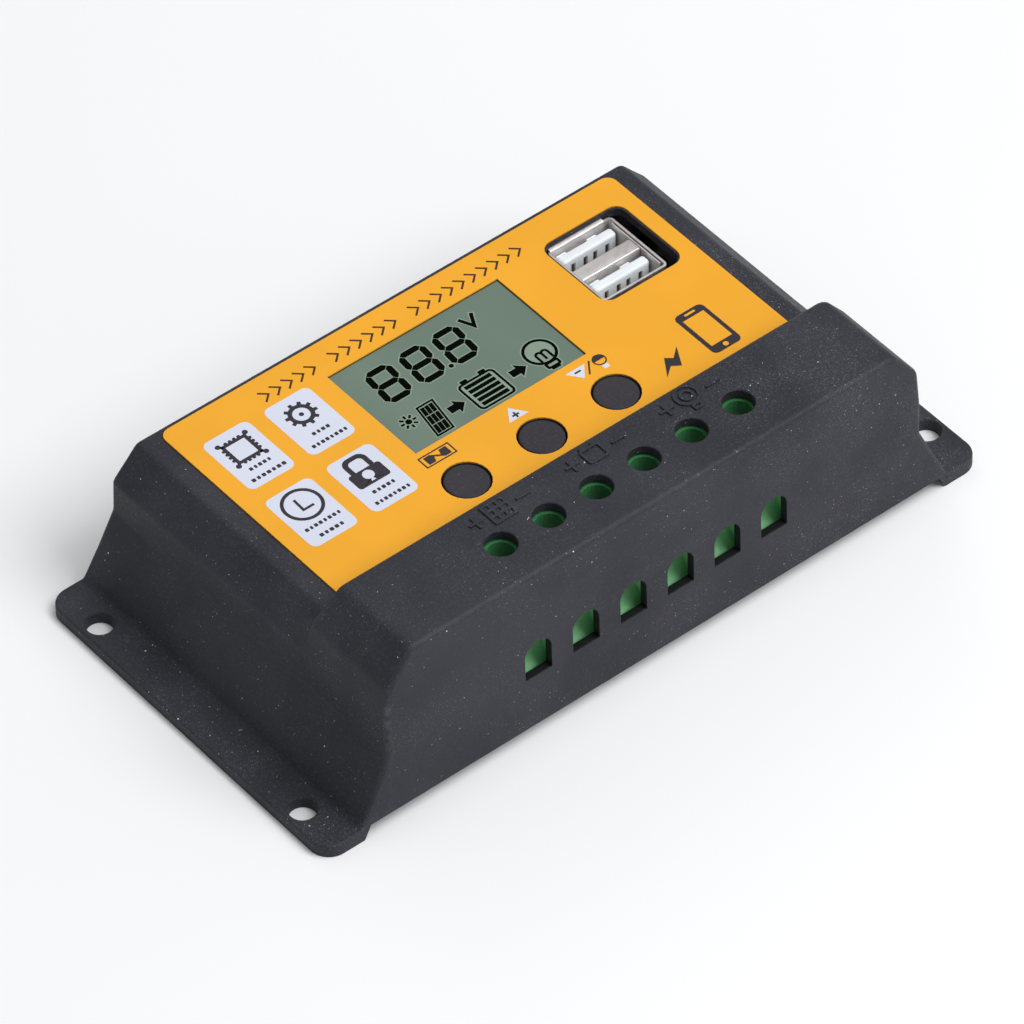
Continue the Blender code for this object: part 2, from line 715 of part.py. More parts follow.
def capacitor(name, place, radius, height):
    """A can with a crimped groove above its foot."""
    profile = [
        (radius - 0.4, ON_BOARD),
        (radius, ON_BOARD + 0.4),
        (radius, ON_BOARD + 1.6),
        (radius - 0.35, ON_BOARD + 2.0),
        (radius, ON_BOARD + 2.4),
        (radius, ON_BOARD + height - 0.4),
        (radius - 0.4, ON_BOARD + height),
    ]
    node(name, turned(profile, place, 20), "chip_epoxy", (*place, ON_BOARD), True)


def inductor():
    """A wound drum on a square foot."""
    outline = rectangle(INDUCTOR, (INDUCTOR_SIZE, INDUCTOR_SIZE), 1.5, 3)
    obj = node("usb_inductor", prism(outline, "z", ON_BOARD, ON_BOARD + 1.0), "ferrite")
    join(obj, [cylinder(INDUCTOR, INDUCTOR_R, ON_BOARD + 0.5, ON_BOARD + INDUCTOR_HEIGHT, 20)])


def chip(name, place, size):
    low, high = ON_BOARD + CHIP_Z[0], ON_BOARD + CHIP_Z[1]
    obj = node(name, prism(rectangle(place, size), "z", low, high), "chip_epoxy")
    legs = []
    for side in (-1, 1):
        for step in (-1, 0, 1):
            x, y = place[0] + side * size[0] / 2, place[1] + step * LEG_PITCH
            legs.append(box((x - 0.6, y - 0.25, ON_BOARD), (x + 0.6, y + 0.25, ON_BOARD + 0.6)))
    join(obj, legs)


def current_shunt():
    """A staple of resistance wire that measures the load current."""
    x, y = SHUNT
    left, right = x - SHUNT_HALF, x + SHUNT_HALF
    under = SHUNT_TOP - SHUNT_WIRE
    outline = [
        (left, ON_BOARD),
        (left + SHUNT_WIRE, ON_BOARD),
        (left + SHUNT_WIRE, under),
        (right - SHUNT_WIRE, under),
        (right - SHUNT_WIRE, ON_BOARD),
        (right, ON_BOARD),
        (right, SHUNT_TOP),
        (left, SHUNT_TOP),
    ]
    node("current_shunt", prism(outline, "y", y - SHUNT_WIRE / 2, y + SHUNT_WIRE / 2), "brass")


def build():
    clear_scene()
    top_cover()
    back_plate()
    face_label()
    display()
    lcd_pin_strip()
    for index in range(3):
        button(index)
    usb_outlet()
    for block in range(3):
        terminal_block(block)
    main_board()
    fasteners()
    for index in range(3):
        mosfet(index)
    for name, (place, radius, height) in CAPACITORS.items():
        capacitor(name, place, radius, height)
    inductor()
    for name, (place, size) in CHIPS.items():
        chip(name, place, size)
    current_shunt()


build()
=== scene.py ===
"""Looks of the solar charge controller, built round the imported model.

Lengths are in millimetres and are turned into metres by MM. The frame is the model's own: +X along
the case, +Y from the terminal wall to the back wall, +Z up, and the origin under the middle.
"""

import math

import bmesh
import bpy
from mathutils import Matrix, Vector


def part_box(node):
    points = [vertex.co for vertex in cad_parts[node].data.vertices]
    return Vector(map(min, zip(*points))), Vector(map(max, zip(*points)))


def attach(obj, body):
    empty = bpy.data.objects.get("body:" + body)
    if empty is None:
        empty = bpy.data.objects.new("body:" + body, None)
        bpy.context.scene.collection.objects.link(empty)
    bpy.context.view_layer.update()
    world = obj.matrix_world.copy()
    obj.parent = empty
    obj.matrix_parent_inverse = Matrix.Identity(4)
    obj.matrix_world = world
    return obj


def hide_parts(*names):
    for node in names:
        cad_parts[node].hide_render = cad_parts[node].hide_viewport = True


MM = 0.001
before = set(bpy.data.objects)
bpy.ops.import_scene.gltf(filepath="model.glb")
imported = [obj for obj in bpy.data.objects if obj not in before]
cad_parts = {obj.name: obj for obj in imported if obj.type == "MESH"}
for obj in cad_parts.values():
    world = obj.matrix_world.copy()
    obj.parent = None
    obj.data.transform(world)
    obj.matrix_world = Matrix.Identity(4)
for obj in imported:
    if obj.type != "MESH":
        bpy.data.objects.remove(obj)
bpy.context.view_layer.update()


def box_mm(node):
    low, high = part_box(node)
    return low / MM, high / MM


def centre_mm(node):
    low, high = box_mm(node)
    return (low + high) / 2


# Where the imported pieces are

HALF_LENGTH, HALF_DEPTH, HEIGHT = box_mm("top_cover")[1]
LABEL_TOP = box_mm("face_label")[1].z
LCD = centre_mm("lcd_panel")
LCD_LOW, LCD_HIGH = box_mm("lcd_panel")
LCD_TOP = LCD_HIGH.z
USB = centre_mm("usb_shell")
USB_LOW, USB_HIGH = box_mm("usb_shell")
BUTTONS = ("mode", "plus", "minus")
BLOCKS = ("panel", "battery", "load")
POLES = [f"{block}_{sign}" for block in BLOCKS for sign in ("plus", "minus")]

# Camera, the same view as the reference

CAMERA_AZIMUTH = -39.07
CAMERA_ELEVATION = 45.67
CAMERA_ROLL = -0.59
CAMERA_LENS = 299.5
CAMERA_SENSOR = 36.0
CAMERA_LOOKS_AT = Vector((0.0, 0.0, 15.0))
CAMERA_STANDS = Vector((-0.79, -6.71, 1333.1))  # from there, along its own axes

# Case profile, as in the solid model

WALL = 1.5
CEILING = 1.6
FLANGE_THICK = 2.3
FLANGE_CORNER = 3.6
FLARE_FOOT_X = 59.7
FLARE_MID = (56.5, 9.0)
WALL_LOW = (53.9, 14.8)
FRONT_SHOULDER = (53.3, 28.2)
FRONT_TOP_X = 48.4
BACK_SHOULDER = (53.9, 21.4)
DECK_X = 49.0
DECK_Z = 26.9
RIM_X = 57.7
RIM_Z = 2.5
FOOT_X = 59.0
FRONT_LEAN = 1.1
BACK_LEAN = 1.5
RISER_FOOT_Y = -14.6
RISER_TOP_Y = -16.4
MOUNT_HOLE = (63.5, 25.4)
MOUNT_HOLE_R = 2.3
SCREW_HOLE_R = 2.65
BUTTON_HOLE_R = 3.95
WINDOW_WIDTH = 5.3
WINDOW_SILL = 12.9
WINDOW_HEIGHT = 7.2
USB_OPENING_CENTRE = (34.6, 18.15)
USB_OPENING = (15.8, 16.1)
USB_CORNER = 1.9
BOSS = (45.5, 28.4)
BOSS_R = 3.0
BOSS_FOOT = 4.8
BOSS_PILOT_R = 1.5
STANDOFF_X = 46.0
STANDOFF_Y = (-8.0, 14.0)
STANDOFF_R = 2.5
STANDOFF_FOOT = 9.3
STANDOFF_PILOT_R = 1.3
DECK_CUT = (DECK_Z - 3, DECK_Z + 2)
DISPLAY_EDGE = 1.5

ROUND = 64


# Outlines, as lists of two coordinates

def circle(centre, radius, count=ROUND):
    angles = [2 * math.pi * i / count for i in range(count)]
    return [(centre[0] + radius * math.cos(a), centre[1] + radius * math.sin(a)) for a in angles]


def arc(centre, radius, start, end, count):
    """Points from one angle to another, in degrees, both ends included."""
    steps = [math.radians(start + (end - start) * i / count) for i in range(count + 1)]
    return [(centre[0] + radius * math.cos(a), centre[1] + radius * math.sin(a)) for a in steps]


def rectangle(centre, size, corner=0.0, count=6):
    half_w, half_h = size[0] / 2, size[1] / 2
    if corner <= 0:
        signs = ((-1, -1), (1, -1), (1, 1), (-1, 1))
        return [(centre[0] + sx * half_w, centre[1] + sy * half_h) for sx, sy in signs]
    points = []
    for sx, sy, start in ((1, 1, 0), (-1, 1, 90), (-1, -1, 180), (1, -1, 270)):
        middle = (centre[0] + sx * (half_w - corner), centre[1] + sy * (half_h - corner))
        points += arc(middle, corner, start, start + 90, count)
    return points


def arch(centre_x, sill, width, height, count=24):
    radius = width / 2
    top = arc((centre_x, sill + height - radius), radius, 0, 180, count)
    return [(centre_x - radius, sill), (centre_x + radius, sill)] + top


def bar(start, end, width):
    """A straight stroke with square ends."""
    a, b = Vector(start), Vector(end)
    side = (b - a).normalized().orthogonal() * width / 2
    return [tuple(p) for p in (a + side, a - side, b - side, b + side)]


def stroke(points, width):
    """The outline of a line through the points, its corners mitred."""
    points = [Vector(p) for p in points]
    steps = [(b - a).normalized() for a, b in zip(points, points[1:])]
    left, right = [], []
    for point, before, after in zip(points, steps[:1] + steps, steps + steps[-1:]):
        side = Vector((-before.y - after.y, before.x + after.x)).normalized()
        reach = width / 2 / max(0.45, side.dot(Vector((-after.y, after.x))))
        left.append(tuple(point + side * reach))
        right.append(tuple(point - side * reach))
    return left + right[::-1]


def moved(outline, offset, turn=0.0, scale=1.0):
    """The outline turned about the origin in degrees, scaled and then moved."""
    c, s = math.cos(math.radians(turn)) * scale, math.sin(math.radians(turn)) * scale
    return [(x * c - y * s + offset[0], x * s + y * c + offset[1]) for x, y in outline]


def grown(outline, by):
    """The outline with every side moved outwards."""
    points = [Vector(p) for p in outline]
    area = sum(a.cross(b) for a, b in zip(points, points[1:] + points[:1]))
    side = 1 if area > 0 else -1
    result = []
    for before, point, after in zip(points[-1:] + points[:-1], points, points[1:] + points[:1]):
        first, second = (point - before).normalized(), (after - point).normalized()
        normal = Vector((first.y + second.y, -first.x - second.x))
        normal.normalize()
        stretch = max(0.5, normal.dot(Vector((first.y, -first.x))))
        result.append(tuple(point + normal * side * by / stretch))
    return result


# Solids, each added to a bmesh of its own or to the one passed in

def loft(rings, bm=None, closed=False):
    """A solid through rings of as many points, closed by two end faces or by running back to its start."""
    bm = bm or bmesh.new()
    made = [[bm.verts.new(point) for point in ring] for ring in rings]
    for first, second in zip(made, made[1:] + made[:1] if closed else made[1:]):
        for i in range(len(first)):
            after = (i + 1) % len(first)
            corners = (first[i], first[after], second[after], second[i])
            if len({tuple(round(c, 6) for c in corner.co) for corner in corners}) > 2:
                bm.faces.new(corners)
    if not closed:
        bm.faces.new(made[0])
        bm.faces.new(made[-1])
    bmesh.ops.remove_doubles(bm, verts=[vert for ring in made for vert in ring], dist=1e-5)
    return bm


def prism(outline, axis, low, high, bm=None):
    place = {"x": lambda p, d: (d, *p), "y": lambda p, d: (p[0], d, p[1]), "z": lambda p, d: (*p, d)}
    return loft([[place[axis](p, d) for p in outline] for d in (low, high)], bm)


def tube(outer, inner, low, high, bm=None):
    """A prism with a hole, between two outlines of as many points."""
    levels = ((outer, low), (outer, high), (inner, high), (inner, low))
    return loft([[(*p, z) for p in outline] for outline, z in levels], bm, closed=True)


def slab(outline, low, high, rounding, steps=4):
    """A plate whose upper edge is rounded."""
    rings = [[(*p, low) for p in outline]]
    for step in range(steps + 1):
        turn = math.radians(90 * (1 - step / steps))
        inset = grown(outline, -rounding * (1 - math.sin(turn)))
        rings.append([(*p, high - rounding * (1 - math.cos(turn))) for p in inset])
    return loft(rings)


def box(low, high, bm=None):
    middle = ((low[0] + high[0]) / 2, (low[1] + high[1]) / 2)
    return prism(rectangle(middle, (high[0] - low[0], high[1] - low[1])), "z", low[2], high[2], bm)


def cylinder(centre, radius, low, high, count=ROUND, bm=None):
    return prism(circle(centre, radius, count), "z", low, high, bm)


def turned(profile, centre, count=ROUND, bm=None):
    """A lathe shape about a vertical line. The profile is (radius, z) points off the axis."""
    return loft([[(x, y, z) for x, y in circle(centre, radius, count)] for radius, z in profile], bm)


# Pieces

def placed(name, data):
    obj = bpy.data.objects.new(name, data)
    bpy.context.scene.collection.objects.link(obj)
    return obj


def mesh_object(name, bm):
    bmesh.ops.recalc_face_normals(bm, faces=bm.faces)
    bmesh.ops.scale(bm, vec=(MM, MM, MM), verts=bm.verts)
    mesh = bpy.data.meshes.new(name)
    bm.to_mesh(mesh)
    bm.free()
    return placed(name, mesh)


def finish_piece(obj, surface, body="case", smooth=None):
    obj.data.materials.clear()
    obj.data.materials.append(surface)
    if smooth:
        obj.data.shade_smooth()
        obj.data.set_sharp_from_angle(angle=math.radians(smooth))
    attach(obj, body)
    return obj


def piece(name, bm, surface, body="case", smooth=None):
    return finish_piece(mesh_object(name, bm), surface, body, smooth)


def carve(obj, shapes, operation="DIFFERENCE"):
    """Cuts the shapes from the object, or joins them to it, and keeps the result as its mesh."""
    for shape in shapes:
        cutter = shape if isinstance(shape, bpy.types.Object) else mesh_object("cutter", shape)
        modifier = obj.modifiers.new("carve", "BOOLEAN")
        modifier.object = cutter
        modifier.operation = operation
        modifier.solver = "EXACT"
        keep_result(obj)
        bpy.data.objects.remove(cutter)


def keep_result(obj):
    graph = bpy.context.evaluated_depsgraph_get()
    mesh = bpy.data.meshes.new_from_object(obj.evaluated_get(graph))
    obj.modifiers.clear()
    obj.data = mesh


def soften(obj, width, segments=3, angle=40):
    bevel = obj.modifiers.new("soft edges", "BEVEL")
    bevel.width = width * MM
    bevel.segments = segments
    bevel.limit_method = "ANGLE"
    bevel.angle_limit = math.radians(angle)
    keep_result(obj)


# Materials

class Surface:
    """A material's nodes. Patterns run over the object's own coordinates, in millimetres."""

    def __init__(self, name, roughness, metallic=0.0, gloss=0.5):
        self.material = bpy.data.materials.new(name)
        self.material.use_nodes = True
        self.tree = self.material.node_tree
        self.shader = self.tree.nodes["Principled BSDF"]
        self.feed("Roughness", roughness)
        self.feed("Metallic", metallic)
        self.feed("Specular IOR Level", gloss)
        coordinates = self.add("TexCoord", {})
        self.place = self.stretched(coordinates.outputs["Object"], (1 / MM, 1 / MM, 1 / MM))
        self.x, self.y, self.z = self.add("SeparateXYZ", {0: self.place}).outputs

    def connect(self, value, socket):
        if isinstance(value, bpy.types.NodeSocket):
            self.tree.links.new(value, socket)
        else:
            socket.default_value = value

    def feed(self, name, value):
        self.connect(value, self.shader.inputs[name])

    def add(self, kind, inputs, **settings):
        """A new node with its settings, and with values or other nodes' outputs in its inputs."""
        made = self.tree.nodes.new("ShaderNode" + kind)
        for name, value in settings.items():
            setattr(made, name, value)
        for socket, value in inputs.items():
            self.connect(value, made.inputs[socket])
        return made

    def stretched(self, place, factors):
        return self.add("VectorMath", {0: place, 1: factors}, operation="MULTIPLY").outputs[0]

    def turned(self, angles, factors):
        """The place turned about the three axes, in degrees, and then stretched."""
        rotation = [math.radians(a) for a in angles]
        inputs = {"Vector": self.place, "Rotation": rotation, "Scale": factors}
        return self.add("Mapping", inputs, vector_type="TEXTURE").outputs[0]

    def near(self, value, level, reach):
        """1 where the value is at the level, falling to 0 at this reach from it."""
        away = self.math("ABSOLUTE", self.math("SUBTRACT", value, level), 0.0)
        return self.span(away, 0.0, reach, 1.0, 0.0)

    def noise(self, per_mm, detail=2.0, place=None):
        inputs = {"Vector": place or self.place, "Scale": per_mm, "Detail": detail}
        return self.add("TexNoise", inputs).outputs["Fac"]

    def cells(self, per_mm, place=None):
        made = self.add("TexVoronoi", {"Vector": place or self.place, "Scale": per_mm})
        split = self.add("SeparateColor", {0: made.outputs["Color"]})
        return made.outputs["Distance"], split.outputs[0], split.outputs[1]

    def span(self, value, low, high, to_low=0.0, to_high=1.0):
        """The value as it goes from low to high, turned into to_low to to_high and held there."""
        inputs = dict(enumerate((value, low, high, to_low, to_high)))
        return self.add("MapRange", inputs, interpolation_type="SMOOTHSTEP").outputs["Result"]

    def math(self, operation, first, second):
        return self.add("Math", {0: first, 1: second}, operation=operation).outputs[0]

    def times(self, first, *others):
        for other in others:
            first = self.math("MULTIPLY", first, other)
        return first

    def mix(self, factor, first, second):
        colors = [(*value, 1.0) if isinstance(value, tuple) else value for value in (first, second)]
        return self.add("Mix", {0: factor, 6: colors[0], 7: colors[1]}, data_type="RGBA").outputs[2]

    def speckles(self, per_mm, radius, share, place=None):
        """Small dots, one in this share of the cells, of up to this radius in millimetres."""
        distance, chance, size = self.cells(per_mm, place)
        reach = self.times(self.span(size, 0.0, 1.0, 0.45, 1.0), radius * per_mm)
        inside = self.math("LESS_THAN", distance, reach)
        return self.times(inside, self.math("LESS_THAN", chance, share))

    def color(self, value):
        self.feed("Base Color", value)

    def roughness(self, value, low, high):
        """The roughness goes from low to high as the value goes over its middle range."""
        self.feed("Roughness", self.span(value, 0.3, 0.7, low, high))

    def bump(self, height, depth, strength=1.0):
        """Depth is the height in millimetres that a change from 0 to 1 stands for."""
        made = self.add("Bump", {"Strength": strength, "Distance": depth * MM, "Height": height})
        self.feed("Normal", made.outputs["Normal"])


RUBBED_CORNER = (53.6, -34.3)
RUBBED_TOP_Y = -33.8
RUBBED = (0.11, 0.11, 0.12)
HAZE = (0.16, 0.16, 0.165)
LINT = (0.55, 0.55, 0.55)
# Painted shade: the near-black colour for the sides and sills inside the wire windows, and where that
# painted shade stops.
WINDOW_SHADOW = (0.006, 0.0065, 0.007)
WINDOWS_END_X = 39.0
WINDOWS_TOP_Z = 21.5
WINDOW_JAMB = 2.1
DUST = (  # cells a millimetre, largest radius, share of cells with a speck, strength, colour
    (2.3, 0.075, 0.85, 0.5, (0.3, 0.3, 0.31)),
    (1.3, 0.1, 0.6, 0.62, (0.42, 0.42, 0.43)),
    (0.6, 0.14, 0.4, 0.9, (0.75, 0.75, 0.74)),
)
LINT_TURNS = ((0, 0, 25), (40, 0, -35), (0, 50, 80), (20, 30, -70))


def rubbed_edges(surface, across, dusty):
    """The upright front corners and, less, the long top edge, where handling has paled them."""
    upright = surface.times(
        surface.near(across, RUBBED_CORNER[0], 1.2),
        surface.near(surface.y, RUBBED_CORNER[1], 1.4),
        surface.span(surface.z, 12.0, 24.0, 0.15, 1.0),
    )
    level = surface.times(surface.near(surface.z, HEIGHT, 0.9), surface.near(surface.y, RUBBED_TOP_Y, 0.8))
    either = surface.math("MAXIMUM", upright, surface.times(level, 0.22))
    worn = surface.span(surface.noise(0.9, 4.0), 0.4, 0.65, 0.1, 0.6 * dusty)
    return surface.times(either, worn)


def dust_share(surface, across):
    """How dusty each place is: in patches, most of all on the flanges and towards the right end."""
    patches = surface.span(surface.noise(0.09, 3.0), 0.38, 0.64, 0.25, 1.0)
    low_down = surface.span(surface.z, 4.0, 9.0, 1.0, 0.0)
    flanges = surface.times(surface.span(across, 57.0, 60.0, 0.0, 0.9), low_down)
    right_end = surface.span(surface.x, -5.0, 48.0, 0.45, 1.0)
    return surface.times(patches, surface.math("MAXIMUM", right_end, flanges))


def painted_window_shade(surface, across):
    """Where shade is painted: the sides and sills of the wire windows, within the thickness of the front
    wall.
    """
    lean = surface.times(surface.z, FRONT_LEAN / HEIGHT)
    behind = surface.math("SUBTRACT", surface.y, lean)
    return surface.times(
        surface.span(behind, 0.1 - HALF_DEPTH, 0.3 - HALF_DEPTH),
        surface.span(behind, WINDOW_JAMB - 0.1 - HALF_DEPTH, WINDOW_JAMB + 0.1 - HALF_DEPTH, 1.0, 0.0),
        surface.span(surface.z, WINDOWS_TOP_Z - 0.5, WINDOWS_TOP_Z + 0.5, 1.0, 0.0),
        surface.span(across, WINDOWS_END_X - 1.0, WINDOWS_END_X + 1.0, 1.0, 0.0),
    )


def moulded_black(name, dark, light, dusty):
    """Black plastic with a fine eroded texture, dust and lint lying on it, and painted shade inside the wire
    windows.
    """
    surface = Surface(name, 0.55, gloss=0.25)
    broad = surface.noise(0.045, 3.0)
    grain = surface.noise(2.2, 4.0)
    across = surface.math("ABSOLUTE", surface.x, 0.0)
    tone = surface.mix(surface.span(broad, 0.35, 0.65), dark, light)
    lighter = tuple(c * 1.7 for c in light)
    tone = surface.mix(surface.span(grain, 0.45, 0.75, 0.0, 0.6), tone, lighter)
    tone = surface.mix(rubbed_edges(surface, across, dusty), tone, RUBBED)
    share = dust_share(surface, across)
    haze = surface.span(surface.noise(5.0, 3.0), 0.5, 0.72, 0.0, 0.5 * dusty)
    tone = surface.mix(surface.times(haze, share), tone, HAZE)
    for per_mm, radius, dots, strength, color in DUST:
        specks = surface.speckles(per_mm, radius, surface.times(share, dots * dusty))
        tone = surface.mix(surface.times(specks, strength), tone, color)
    for turn in LINT_TURNS:
        place = surface.turned(turn, (6.0, 1.0, 1.0))
        lint = surface.speckles(0.9, 0.07, surface.times(share, 0.36 * dusty), place)
        tone = surface.mix(surface.times(lint, 0.8), tone, LINT)
    # Painted shade: the window sides and sills are coloured near black, standing in for the shadow inside
    # the windows.
    surface.color(surface.mix(painted_window_shade(surface, across), tone, WINDOW_SHADOW))
    surface.roughness(grain, 0.52, 0.7)
    surface.bump(grain, 0.06, 0.5)
    return surface.material


def printed_film(name, color, variation=0.05, roughness=0.42):
    """Printed polyester film: an even ink under a faint orange-peel gloss."""
    surface = Surface(name, roughness, gloss=0.3)
    shaded = tuple(c * (1 - variation) for c in color)
    broad = surface.span(surface.noise(0.05, 2.0), 0.35, 0.65)
    tone = surface.mix(broad, shaded, color)
    fleck = surface.span(surface.noise(9.0, 2.0), 0.6, 0.8, 0.0, 0.25)
    surface.color(surface.mix(fleck, tone, tuple(c * 0.86 for c in color)))
    peel = surface.noise(1.4, 2.0)
    surface.roughness(peel, roughness - 0.05, roughness + 0.07)
    surface.bump(peel, 0.012, 0.35)
    return surface.material


def display_glass():
    surface = Surface("lcd_grey_green", 0.3, gloss=0.35)
    upright = surface.stretched(surface.place, (1.0, 0.3, 1.0))
    drift = surface.span(surface.noise(0.06, 1.0, upright), 0.35, 0.7)
    tone = surface.mix(drift, (0.135, 0.19, 0.148), (0.16, 0.22, 0.172))
    rows = surface.span(surface.noise(7.0, 1.0), 0.4, 0.7, 0.0, 0.18)
    surface.color(surface.mix(rows, tone, (0.11, 0.16, 0.122)))
    surface.bump(surface.noise(0.5, 1.0), 0.01, 0.1)
    return surface.material


def plain_plastic(name, color, roughness, grain=1.5, depth=0.01, shift=0.12, soft=0.0, gloss=0.5):
    """Smooth moulded plastic: a little colour drift, and faint flow marks in the gloss."""
    surface = Surface(name, roughness, gloss=gloss)
    drift = surface.span(surface.noise(0.25, 3.0), 0.3, 0.7)
    surface.color(surface.mix(drift, tuple(c * (1 - shift) for c in color), color))
    flow = surface.noise(grain, 3.0)
    surface.roughness(flow, roughness - 0.06, roughness + 0.08)
    surface.bump(flow, depth, 0.4)
    surface.feed("Subsurface Weight", soft)
    surface.feed("Subsurface Scale", 0.8 * MM)
    return surface.material


def terminal_green():
    """Green terminal plastic. The wire side, at the front and low down, is painted paler, more so towards
    the top: painted light over the shaded wire pockets.
    """
    surface = Surface("terminal_green", 0.42, gloss=0.35)
    drift = surface.span(surface.noise(0.25, 3.0), 0.3, 0.7)
    tone = surface.mix(drift, (0.035, 0.17, 0.06), (0.045, 0.205, 0.07))
    # Painted light: the front, lower part of each block is coloured paler, more so towards the top, to lift
    # the shade in the wire pockets behind the windows.
    painted_light_mask = surface.times(surface.span(surface.y, -29.5, -27.5, 1.0, 0.0),
                              surface.span(surface.z, 23.0, 26.0, 1.0, 0.0))
    painted_light = surface.mix(surface.span(surface.z, 12.5, 15.5), (0.25, 0.66, 0.3), (0.48, 0.95, 0.52))
    surface.color(surface.mix(painted_light_mask, tone, painted_light))
    flow = surface.noise(1.2, 3.0)
    surface.roughness(flow, 0.36, 0.5)
    surface.bump(flow, 0.01, 0.3)
    surface.feed("Subsurface Weight", 0.35)
    surface.feed("Subsurface Scale", 1.4 * MM)
    return surface.material


def metal(name, color, roughness, along=(1.0, 1.0, 1.0), marks=6.0):
    """Plated or rolled metal with fine lines along the axes whose factor is small."""
    surface = Surface(name, roughness, 1.0)
    place = surface.stretched(surface.place, along)
    lines = surface.noise(marks, 3.0, place)
    stain = surface.span(surface.noise(0.4, 3.0), 0.45, 0.75, 0.0, 0.45)
    surface.color(surface.mix(stain, color, tuple(c * 0.72 for c in color)))
    surface.roughness(lines, roughness - 0.08, roughness + 0.12)
    surface.bump(lines, 0.006, 0.5)
    return surface.material


def solder_mask():
    """Green solder mask over copper tracks that run in bands, with drilled vias."""
    surface = Surface("solder_mask", 0.32)
    along = surface.stretched(surface.place, (0.12, 1.0, 1.0))
    tracks = surface.span(surface.noise(0.85, 0.0, along), 0.49, 0.52)
    tone = surface.mix(tracks, (0.008, 0.085, 0.035), (0.02, 0.17, 0.06))
    vias = surface.speckles(0.35, 0.45, 0.5)
    surface.color(surface.mix(vias, tone, (0.45, 0.43, 0.36)))
    surface.bump(tracks, 0.035, 0.8)
    return surface.material


BLACK = moulded_black("case_black", (0.021, 0.0215, 0.028), (0.031, 0.0315, 0.04), 1.0)
BUTTON_BLACK = moulded_black("button_black", (0.03, 0.028, 0.034), (0.036, 0.033, 0.04), 0.12)
YELLOW = printed_film("label_yellow_film", (0.88, 0.4, 0.02))
TILE = printed_film("tile_white_ink", (0.67, 0.7, 0.81), 0.03)
INK = printed_film("dark_ink", (0.032, 0.027, 0.035), 0.1)
HEADING_INK = printed_film("heading_ink", (0.055, 0.022, 0.01), 0.1)
GLASS = display_glass()
SEGMENT = plain_plastic("lcd_segment", (0.003, 0.004, 0.003), 0.6, gloss=0.0)
# Painted light: the pale halo drawn round each display segment.
PAINTED_HALO = plain_plastic("lcd_segment_painted_halo", (0.25, 0.33, 0.25), 0.45, gloss=0.2)
GREEN = terminal_green()
WHITE = plain_plastic("nylon_white", (0.82, 0.87, 0.9), 0.38, 1.5, 0.01, 0.06, 0.1)
EPOXY = plain_plastic("chip_black", (0.022, 0.022, 0.023), 0.5, 5.0, 0.015)
FERRITE = plain_plastic("ferrite_grey", (0.05, 0.05, 0.054), 0.7, 4.0, 0.03)
MASK = solder_mask()
STEEL = metal("nickel_plate", (0.72, 0.685, 0.665), 0.5, (0.3, 1.0, 1.0), 3.0)
ZINC = metal("zinc_plate", (0.6, 0.61, 0.62), 0.33, (1.0, 1.0, 1.0))
BRASS = metal("tinned_brass", (0.72, 0.63, 0.45), 0.32, (0.2, 1.0, 1.0))
CONTACT = metal("usb_contact", (0.3, 0.22, 0.12), 0.35, (1.0, 1.0, 0.15))
ALUMINIUM = metal("rolled_aluminium", (0.72, 0.73, 0.74), 0.36, (0.04, 1.0, 1.0), 9.0)


# Cover

def front_y(z):
    return -HALF_DEPTH + FRONT_LEAN * z / HEIGHT


def back_y(z):
    return HALF_DEPTH - BACK_LEAN * z / DECK_Z


def riser_y(z):
    """The step between the deck and the raised terminal housing."""
    share = max(0.0, (z - DECK_Z) / (HEIGHT - DECK_Z))
    return RISER_FOOT_Y + (RISER_TOP_Y - RISER_FOOT_Y) * share


FOOT_END = FLARE_FOOT_X + 2.3
EASE_STEPS = 6
ROUND_STEPS = 6
LOWER_CORNERS = (  # x, z, how far the easing reaches, end and riser roundings, riser blend
    (RIM_X, RIM_Z, 0.1, 0.0, 0.0, 0.0),
    (FOOT_X, 0.0, 0.15, 0.0, 0.0, 0.0),
    (FOOT_END, 0.0, 0.15, 0.0, 0.0, 0.0),
    (FOOT_END, FLANGE_THICK - 0.35, 0.1, 0.0, 0.0, 0.0),
    (FLARE_FOOT_X, FLANGE_THICK, 1.0, 0.6, 0.0, 0.0),
    (*FLARE_MID, 0.6, 0.9, 0.0, 0.0),
    (*WALL_LOW, 0.5, 1.0, 0.0, 0.2),
)
HOUSING_CORNERS = LOWER_CORNERS + (
    (*BACK_SHOULDER, 0.8, 1.0, 0.0, 0.7),
    (*FRONT_SHOULDER, 0.9, 1.0, 1.6, 0.8),
    (FRONT_TOP_X, HEIGHT, 1.1, 0.9, 1.5, 0.0),
)
DECK_CORNERS = LOWER_CORNERS + (
    (*BACK_SHOULDER, 0.7, 1.0, 0.0, 0.7),
    (51.8, 23.7, 0.8, 0.9, 0.0, 0.8),
    (DECK_X, DECK_Z, 0.8, 0.8, 0.0, 0.0),
)
BLEND = ((0.0, 1.0), (0.7, 0.72), (1.5, 0.46), (2.5, 0.23), (3.8, 0.07), (5.2, 0.0))


def section(corners):
    """The closed cross-section: points with their inward directions, two roundings and riser blend."""
    corners = list(corners) + [(-x, z, *more) for x, z, *more in reversed(corners)]
    points, roundings = [], []
    neighbours = zip(corners[-1:] + corners, corners, corners[1:] + corners[:1])
    for before, (x, z, reach, *more), after in neighbours:
        middle = Vector((x, z))
        start = middle + (Vector(before[:2]) - middle).normalized() * reach
        end = middle + (Vector(after[:2]) - middle).normalized() * reach
        for step in range(EASE_STEPS + 1):
            t = step / EASE_STEPS
            points.append(tuple(start * (1 - t) ** 2 + middle * 2 * t * (1 - t) + end * t * t))
            roundings.append(more)
    inset = grown(points, -1.0)
    inward = [Vector(b) - Vector(a) for a, b in zip(points, inset)]
    return list(zip(points, inward, roundings))


